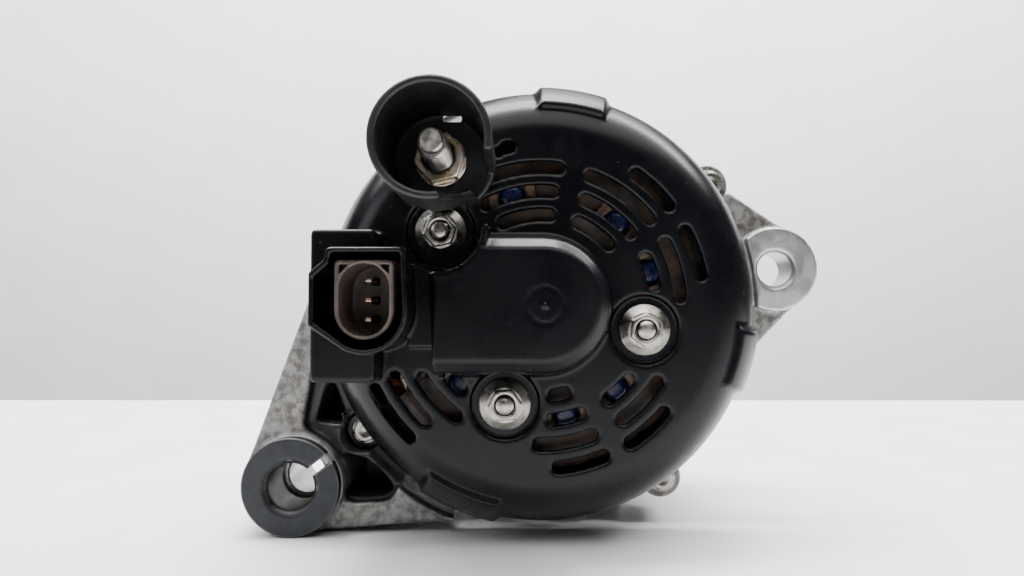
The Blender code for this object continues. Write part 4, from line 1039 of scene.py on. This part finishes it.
def rear_bracket(p):
    shape = extrude(p.r - BRACKET_R, p, 70, 101, 0.6)
    boss = (LEFT_LUG[0] - 0.5, LEFT_LUG[1] + 0.4)
    left = extrude(outline(p, arm_points((0, 3.0), 67.1, boss, 15.5)), p, *LEFT_ARM_D, 1.2)
    left = carve(left, extrude(outline(p, rounded(RECESS, 3.0), 0.3), p, 50, 70, 1.5), 1.5)
    for pocket in (UPPER_POCKET, LOWER_POCKET):
        left = carve(left, extrude(outline(p, rounded(pocket, 1.8), 0.2), p, 50, 98, 1.0), 1.2)
    shape = add(shape, left, 1.5)
    shape = add(shape, rod(p, LEFT_LUG, LEFT_BOSS_R, *LEFT_BOSS_D, 0.6), 2.0)
    right = extrude(outline(p, arm_points((0, 3.9), 63.3, RIGHT_LUG, 13.4)), p, *RIGHT_ARM_D, 1.2)
    shape = add(shape, right, 2.0)
    shape = add(shape, rod(p, RIGHT_LUG, RIGHT_BOSS_R, *RIGHT_BOSS_D, 0.3), 1.2)
    for spot in BOLTS:
        shape = add(shape, rod(p, spot, EAR_R, EAR_D, 100.8, 0.5), 2.0)
    room = np.minimum(ring_solid(p, 71.2, 40, 76.8), ring_solid(p, BRACKET_R, 40, 70.5))
    shape = carve(shape, room, 0.5)
    seat = STATOR_D[0] - 0.3
    hollow = np.minimum(ring_solid(p, CHAMBER_R, 75, seat), ring_solid(p, SPIGOT_R, seat, 120))
    shape = carve(shape, hollow, 0.5)
    for points in window_points(SPOKES, 27, 56.5, 3.5):
        shape = carve(shape, extrude(outline(p, points), p, 60, 80), 0.8)
    for angle in SIDE_WINDOWS:
        shape = carve(shape, side_window(p, angle, 6.5, 77, 90.5), 1.0)
    for spot in NUTS:
        shape = add(shape, rod(p, spot, 5.2, 68, 74.8), 1.0)
    shape = add(shape, extrude(p.r - 21.2, p, 63.5, 77.5, 0.6), 1.2)
    seat = np.minimum(ring_solid(p, 12.5, 50, 66), ring_solid(p, REAR_BEARING_R, 65.5, 85))
    shape = carve(shape, seat, 0.3)
    for spot in NUTS:
        shape = carve(shape, rod(p, spot, 2.8, 60, 72.2), 0.2)
    for spot in BOLTS:
        shape = carve(shape, rod(p, spot, BOLT_HOLE_R, 70, 105), 0.2)
        shape = carve(shape, rod(p, spot, EAR_R - 0.2, 60, EAR_D), 0.3)
    bore = np.minimum(
        rod(p, LEFT_LUG, BUSH_SEAT_R, 50, BUSH_SEAT_D, 0.1), rod(p, LEFT_LUG, LEFT_BORE_R, 60, 115, 0.1)
    )
    shape = carve(shape, bore, 0.3)
    chamfer = (disc(p, RIGHT_LUG, RIGHT_BORE_R + 1.0) + (p.d - RIGHT_BOSS_D[0])) / 1.41
    shape = carve(shape, rod(p, RIGHT_LUG, RIGHT_BORE_R, 60, 100, 0.1), 0.3)
    return carve(shape, chamfer, 0.2)


def paint_faces(mesh, base, **tests):
    """Gives each face the base finish, or the last one whose test it passes."""
    for finish in (base, *tests):
        mesh.materials.append(MATERIALS[finish])
    centres = np.empty(3 * len(mesh.polygons))
    mesh.polygons.foreach_get("center", centres)
    places = (centres.reshape(-1, 3) - np.array([AXIS_X, REAR_Y, AXIS_Z])) * 1000
    p = Places(*places.T)
    index = np.zeros(len(places), np.int32)
    for number, test in enumerate(tests.values(), 1):
        index[test(p)] = number
    mesh.polygons.foreach_set("material_index", index)


def rear_machined(p):
    from_right, from_left = disc(p, RIGHT_LUG, 0), disc(p, LEFT_LUG, 0)
    right = (from_right < RIGHT_BOSS_R + 0.3) & ((p.d < 77.9) | (from_right < RIGHT_BORE_R + 0.8))
    bore = (from_left < 6.6) | ((from_left < 13.0) & (p.d < 80)) | ((from_left < 15.0) & (p.d > 106.9))
    return right | bore


# Faces inside the left arm's recess and pockets, which get the near-black finish that paints in the shade of those
# hollows.
def rear_sooty(p):
    recess = (outline(p, RECESS) < 0.6) & (p.d > 66.0) & (p.d < 98.2) & (disc(p, LEFT_LUG, 0) > 15.4)
    return recess & (outline(p, arm_points((0, 3.0), 67.1, LEFT_LUG, 15.5)) < -1.4)


def build_rear_bracket():
    mesh = implicit("rear_casting", within("rear_bracket", rear_bracket), (-92, 62, -71), (91.5, 108, 71))
    # The recess and pocket faces get the painted-shade finish.
    paint_faces(mesh, "cast", machined=rear_machined, soot=rear_sooty)
    add_piece("rear_casting", mesh, "rear_bracket", "cast")


def front_bracket(p):
    shape = extrude(p.r - BRACKET_R, p, FRONT_RING_D, FRONT_FACE_D, 1.6)
    for spot in BOLTS:
        shape = add(shape, rod(p, spot, EAR_R, FRONT_RING_D + 0.2, 132, 0.6), 2.0)
    floor = -1000 * AXIS_Z
    foot = [(14.3, -56), (14.3, floor + 0.3), (29.7, floor + 0.3), (32.7, -56)]
    shape = add(shape, extrude(outline(p, foot, 0.3), p, FRONT_RING_D + 0.4, 139.5, 0.6), 1.5)
    shape = add(shape, extrude(rectangle(p, 14, 30, floor, floor + 4.8, 0.4), p, 103, 120, 0.4), 0.8)
    hollow = np.minimum(
        ring_solid(p, SPIGOT_R, 90, STATOR_D[1] + 0.3), ring_solid(p, CHAMBER_R, STATOR_D[1], FRONT_WALL_D)
    )
    shape = carve(shape, hollow, 0.5)
    for points in window_points([15 + 45 * i for i in range(8)], 33, 56.5, 3.5):
        shape = carve(shape, extrude(outline(p, points), p, 130, 150), 1.0)
    for angle in range(2, 360, 20):
        apart = min(abs((angle - other + 180) % 360 - 180) for other in BOLT_ANGLES)
        if apart > 13 and not 282 < angle < 304:
            shape = carve(shape, side_window(p, angle, 6.5, 123.5, 135), 1.0)
    shape = add(shape, extrude(p.r - 28.5, p, 130.6, 146.5, 0.8), 1.5)
    seat = np.minimum(ring_solid(p, FRONT_BEARING_R, 120, 144.9), ring_solid(p, 16.5, 144, 155))
    shape = carve(shape, seat, 0.3)
    for spot in SCREWS:
        shape = carve(shape, rod(p, spot, 1.9, 120, 137), 0.1)
    for spot in BOLTS:
        shape = carve(shape, rod(p, spot, BOLT_HOLE_R, 105, 129), 0.2)
    return shape


def front_machined(p):
    rim = (p.r < 28.6) & (p.d > 146.1)
    return rim | (p.r < 24) | (p.z < -1000 * AXIS_Z + 0.3)


def build_front_bracket():
    shape = within("front_bracket", front_bracket)
    mesh = implicit("front_casting", shape, (-76.2, 103, -71), (76.2, 146.5, 76.2))
    paint_faces(mesh, "cast", machined=front_machined)
    add_piece("front_casting", mesh, "front_bracket", "cast")


# Stator


def stator_core(p):
    shape = extrude(p.r - STATOR_R, p, *STATOR_D, 0.3)
    pitch = 2 * math.pi / SLOT_COUNT
    turn = np.arctan2(p.z, p.x)
    away = np.abs((turn + pitch / 2) % pitch - pitch / 2) * p.r
    slots = np.maximum(away - 2.7, np.maximum(p.r - SLOT_R, 40 - p.r))
    mouth = np.minimum(slots, p.r - STATOR_BORE_R)
    shape = carve(shape, mouth, 0.3)
    for angle in range(10, 370, 60):
        shape = carve(shape, disc(p, on_circle(STATOR_R + 0.4, angle), 1.5), 0.4)
    return shape


# Corners of a wire's section, in halves of its width and height
WIRE_SECTION = ((-1, -0.6), (-0.6, -1), (0.6, -1), (1, -0.6), (1, 0.6), (0.6, 1), (-0.6, 1), (-1, 0.6))


def sweep(work, path, width, height):
    """A flat wire with eased corners along a path of (x, d, z) points, in millimetres."""
    rings = []
    for i, place in enumerate(path):
        place = Vector(place)
        ahead = Vector(path[min(i + 1, len(path) - 1)]) - Vector(path[max(i - 1, 0)])
        ahead.normalize()
        outwards = Vector((place.x, 0, place.z)).normalized()
        side = ahead.cross(outwards).normalized()
        outwards = side.cross(ahead)
        ring = []
        for u, v in WIRE_SECTION:
            spot = place + side * (u * width / 2) + outwards * (v * height / 2)
            ring.append(work.verts.new(to_world([spot])[0]))
        rings.append(ring)
    for a, b in zip(rings, rings[1:]):
        for i in range(8):
            work.faces.new((a[i], a[(i + 1) % 8], b[(i + 1) % 8], b[i]))
    work.faces.new(rings[0][::-1])
    work.faces.new(rings[-1])


def hairpin(work, angle, base, tip, inner, outer):
    """One bent wire: out of a slot, aslant to its tip, and back down to another slot in the other layer."""
    steps = [(0, 0, 0), (0, 0.16, 0), (1.5, 0.36, 0), (6.5, 0.84, 0.05), (8.0, 0.97, 0.5)]
    steps += [(16 - turn, rise, 1 - across) for turn, rise, across in steps[-2::-1]]
    path = []
    for turn, rise, across in steps:
        x, z = on_circle(outer + (inner - outer) * across, angle + turn)
        path.append((x, base + (tip - base) * rise, z))
    sweep(work, path, 1.7, 2.4)


def stator_winding(name):
    work = bmesh.new()
    for i in range(2 * SLOT_COUNT):
        angle = 360 * (i + 0.5) / (2 * SLOT_COUNT)
        hairpin(work, angle, STATOR_D[0] - 0.2, 81.3, 53.8, 58.8)
        hairpin(work, angle, STATOR_D[1] + 0.2, 131.8, 53.8, 58.8)
    for i in range(SLOT_COUNT):
        for radius in (54.4, 56.8):
            x, z = on_circle(radius, 360 * i / SLOT_COUNT)
            path = [(x, depth, z) for depth in np.linspace(STATOR_D[0] - 0.4, STATOR_D[1] + 0.4, 4)]
            sweep(work, path, 4.2, 2.2)
    bmesh.ops.recalc_face_normals(work, faces=work.faces)
    return mesh_of(work, name, sharp=50)


def build_stator():
    mesh = implicit("stack", stator_core, (-64, STATOR_D[0], -64), (64, STATOR_D[1], 64), CELL * 1.2)
    add_piece("stack", mesh, "stator_core", "laminated")
    add_piece("hairpins", stator_winding("hairpins"), "stator_winding", "enamel")


# Through bolts, pulley and shaft end


def bolt_head(spot):
    def shape(p):
        near, far = BOLT_HEAD_D
        head = chamfered_hexagon(p, spot, 7.0, 15, near, far - 0.8)
        head = add(head, rod(p, spot, 4.5, far - 1.4, far, 0.25), 0.3)
        dish = np.sqrt((p.x - spot[0]) ** 2 + (p.z - spot[1]) ** 2 + (p.d - 72.4) ** 2) - 4.6
        return carve(head, dish, 0.2)

    return shape


BOLT_SHANK = [(0, 79), (2.5, 79), (2.5, BOLT_END_D - 0.3), (2.2, BOLT_END_D), (0, BOLT_END_D)]


def build_bolts():
    for i, spot in enumerate(BOLTS, 1):
        head = implicit("head", bolt_head(spot), *around(spot, 4.6, BOLT_HEAD_D), SMALL_CELL)
        shank = ring_mesh("shank", BOLT_SHANK, 24, spot)
        mesh = merge(f"bolt_{i}", [head, shank])
        add_piece(f"bolt_{i}", mesh, f"through_bolt_{i}", "zinc")


def pulley_profile():
    """Section of the six-groove pulley, as (radius, depth) points."""
    near, far = PULLEY_D
    count, pitch, groove, rim = 6, 3.56, 2.9, 28
    first = near + (far - near - count * pitch) / 2
    profile = [(8.9, 144.8), (12.2, 144.8), (12.5, 145.1), (12.5, near + 5.4), (13.1, near + 6)]
    profile += [(21.9, near + 4.2), (22.5, near + 3.6), (22.5, near + 0.4), (22.9, near)]
    profile += [(rim - 0.4, near), (rim, near + 0.4)]
    for i in range(count):
        start = first + pitch * i
        middle, end, root = start + pitch / 2, start + pitch, rim - groove
        profile += [(rim, start + 0.15), (rim - 0.12, start + 0.32), (root + 0.25, middle - 0.22)]
        profile += [(root, middle), (root + 0.25, middle + 0.22), (rim - 0.12, end - 0.32)]
        profile += [(rim, end - 0.15)]
    profile += [(rim, far - 0.4), (rim - 0.4, far), (21.9, far), (21.5, far - 0.4), (21.5, 164.6)]
    return profile + [(20.9, 163.9), (16.3, 162.3), (15.8, 162.2), (8.9, 162.2)]


def front_nut(p):
    flipped = Places(p.x, -p.d, p.z)
    shape = chamfered_hexagon(flipped, (0, 0), 24, 0, -172.2, -162.9)
    shape = add(shape, extrude(p.r - 13.8, p, 162.6, 164.0, 0.3), 0.3)
    mouth = (p.r - 9.0 - (p.d - 172.2)) / 1.41
    return carve(carve(shape, extrude(p.r - 8.1, p, 150, 180), 0.2), mouth, 0.2)


def build_drive():
    mesh = ring_mesh("ribbed_pulley", pulley_profile(), 120)
    add_piece("ribbed_pulley", mesh, "pulley", "pulley")
    mesh = implicit("drive_nut", front_nut, (-13.9, 162.6, -13.9), (13.9, 172.2, 13.9), CELL * 0.5)
    add_piece("drive_nut", mesh, "pulley_nut", "zinc")
    near, far = depths("rotor_shaft")
    back = [(0, near), (3.6, near), (4.3, near + 0.5), (4.8, near + 1.2), (4.8, 60), (7.5, 61), (7.5, 78.2)]
    seat = [(9.0, 78.2), (9.0, 129), (8.5, 129), (8.5, 159.5)]
    bar = ring_mesh("bar", [*back, *seat, (7.8, 160.2), (7.0, 160.2), (0, 160.2)], 48)
    thread = threaded("end", 7.8, 1.5, far - 1.0, 160.0, (0, 0), 48)
    profile = [(0, far - 1.2), (7.0, far - 1.2), (6.8, far - 0.2), (6.2, far), (1.6, far), (0, far - 1.5)]
    mesh = merge("shaft", [bar, thread, ring_mesh("tip", profile, 48)])
    add_piece("shaft", mesh, "rotor_shaft", "steel")


# What shows through the vents, and the parts inside


BEARING = ("inner_race", "cage", "outer_race")
RACES = tuple(f"{end}_bearing_{part}" for end in ("rear", "front") for part in BEARING)
# For each finish, the CAD nodes that keep their own shape, and how wide their edges are rounded
FINISHES = {
    "cast": (("regulator_body",), 0.3),
    "sink": (("positive_heat_sink", "negative_heat_sink"), 0.25),
    "inner": (("rectifier_terminal_block", "slip_ring_hub", "brush_holder"), 0.3),
    "zinc": (("retainer_screw_1", "retainer_screw_2", "retainer_screw_3", "rear_fan", "front_fan"), 0.2),
    "steel": (("bearing_retainer", "brush_spring_1", "brush_spring_2"), 0.15),
    "race": (RACES, 0.25),
    "enamel": (("field_coil",), 0.4),
    "copper": ((*(f"connector_pin_{i}" for i in (1, 2, 3)), "slip_ring_1", "slip_ring_2"), 0.15),
    "carbon": (("brush_1", "brush_2"), 0.2),
    "iron": (("rear_pole_claw", "front_pole_claw"), 0.5),
}


def finish_of(name):
    return next((finish, width) for finish, (names, width) in FINISHES.items() if name in names)


def refined(name, source, width):
    """A finer copy of a mesh: flat areas are joined and sharp edges rounded."""
    work = bmesh.new()
    work.from_mesh(source)
    bmesh.ops.remove_doubles(work, verts=work.verts, dist=1e-6)
    bmesh.ops.dissolve_limit(work, angle_limit=math.radians(1), verts=work.verts, edges=work.edges)
    sharp = [e for e in work.edges if len(e.link_faces) == 2 and e.calc_face_angle(0) > math.radians(32)]
    bmesh.ops.bevel(
        work, geom=sharp, offset=width / 1000, segments=2, profile=0.5, affect="EDGES", clamp_overlap=True
    )
    bmesh.ops.triangulate(work, faces=work.faces)
    return mesh_of(work, name)


def lead_clips(name):
    """The tan ends of the lead frame on both sides of each diode."""
    work = bmesh.new()
    for x, z in DIODES:
        angle = math.degrees(math.atan2(z, x))
        for step in (-5.6, 5.6):
            a, b = on_circle(math.hypot(x, z), angle + math.degrees(step / math.hypot(x, z)))
            box = bmesh.ops.create_cube(work, size=1)["verts"]
            turn = math.radians(angle)
            for vert in box:
                u, v, w = 0.0052 * vert.co.x, 0.0028 * vert.co.z, 0.0021 * vert.co.y
                spot = Vector(to_world([(a, 47.0, b)])[0])
                u_way = Vector((math.cos(turn), 0, math.sin(turn)))
                v_way = Vector((-math.sin(turn), 0, math.cos(turn)))
                vert.co = spot + u_way * u + v_way * v + Vector((0, w, 0))
    bmesh.ops.recalc_face_normals(work, faces=work.faces)
    bmesh.ops.bevel(work, geom=list(work.edges), offset=0.0005, segments=3, profile=0.5, affect="EDGES")
    return mesh_of(work, name)


# Resin cap and knurled cup of a press-fit diode, as (radius, depth)
DIODE_PROFILE = [
    (0, 46.3), (1.6, 46.2), (2.6, 46.35), (3.2, 46.8), (3.4, 47.4), (3.4, 52.0), (4.7, 52.0), (5.0, 52.3),
    (5.0, 58.7), (4.7, 59.0), (0, 59.0),
]


def build_inside():
    """The diodes, and a finer copy of each node that no piece stands for yet."""
    add_piece("lead_clips", lead_clips("lead_clips"), None, "tan")
    for i, spot in enumerate(DIODES, 1):
        mesh = ring_mesh(f"press_diode_{i}", DIODE_PROFILE, 32, spot)
        add_piece(f"press_diode_{i}", mesh, f"diode_{i}", "resin")
    for name, node in sorted(NODES.items()):
        if name in shaped:
            continue
        finish, width = finish_of(name)
        bends = name.startswith("brush_spring")
        mesh = refined(f"{name}_look", node.data, width)
        piece = add_piece(f"{name}_look", mesh, name, finish, rides=not bends)
        if bends:
            low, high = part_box(name)
            middle = (low + high) / 2
            fixed, moving = Vector((low.x, middle.y, middle.z)), Vector((high.x, middle.y, middle.z))
            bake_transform(piece)
            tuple(fixed)
            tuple(moving)


# Surroundings


def plane(name, corners, material):
    mesh = bpy.data.meshes.new(name)
    mesh.from_pydata(corners, [], [(0, 1, 2, 3)])
    mesh.materials.append(material)
    made = bpy.data.objects.new(name, mesh)
    bpy.context.scene.collection.objects.link(made)


def softbox(name, place, target, size, power, colour=(1, 1, 1)):
    light = bpy.data.lights.new(name, "AREA")
    light.shape, light.size, light.size_y = "RECTANGLE", *size
    light.energy, light.color = power, colour
    made = bpy.data.objects.new(name, light)
    made.location = place
    made.rotation_euler = (Vector(target) - Vector(place)).to_track_quat("-Z", "Y").to_euler()
    made.visible_camera = False
    bpy.context.scene.collection.objects.link(made)


def build_stage():
    paper = surface(
        "table_paint", (0.74, 0.74, 0.75), (0.80, 0.80, 0.81), patch=0.05, rough=(0.45, 0.6), relief=0.00001,
        dust=0.4,
    )
    wall = surface(
        "wall_paint", (0.72, 0.72, 0.73), (0.76, 0.76, 0.77), patch=0.2, rough=(0.7, 0.8), relief=0.00001
    )
    plane("table", [(-2, -0.5, 0), (2, -0.5, 0), (2, 0.34, 0), (-2, 0.34, 0)], paper)
    plane("wall", [(-1.5, 1.3, -1), (1.5, 1.3, -1), (1.5, 1.3, 0.8), (-1.5, 1.3, 0.8)], wall)


def build_lights():
    world = bpy.data.worlds.new("room")
    world.use_nodes = True
    world.node_tree.nodes["Background"].inputs["Color"].default_value = (0.93, 0.96, 1.0, 1)
    world.node_tree.nodes["Background"].inputs["Strength"].default_value = 0.10
    bpy.context.scene.world = world
    softbox("ceiling", (0.1, -0.25, 1.15), (0, -0.2, 0), (2.6, 1.6), 48)
    softbox("top_strip", (-0.05, 0.02, 0.95), (-0.05, 0.0, 0), (0.6, 0.12), 12)
    softbox("wall_wash", (0.0, 0.45, 1.5), (0, 1.3, 0.35), (3.4, 0.6), 142)
    softbox("window", (-1.1, -0.5, 0.55), (0, 0, 0.07), (0.6, 0.6), 4, (0.93, 0.96, 1.0))


def build_camera():
    """A phone's view of the rear end, from about 0.2 m away."""
    data = bpy.data.cameras.new("camera")
    data.lens, data.sensor_width = 28.1, 36
    data.clip_start = 0.01
    made = bpy.data.objects.new("camera", data)
    made.location = (-0.0073, -0.272, 0.0690)
    made.rotation_euler = (math.radians(90 + 1.57), 0, math.radians(0.14))
    bpy.context.scene.collection.objects.link(made)
    bpy.context.scene.camera = made


build_cover()
build_terminal()
build_fasteners()
build_port()
build_bush()
build_rear_bracket()
build_front_bracket()
build_stator()
build_bolts()
build_drive()
build_inside()
build_stage()
build_lights()
build_camera()
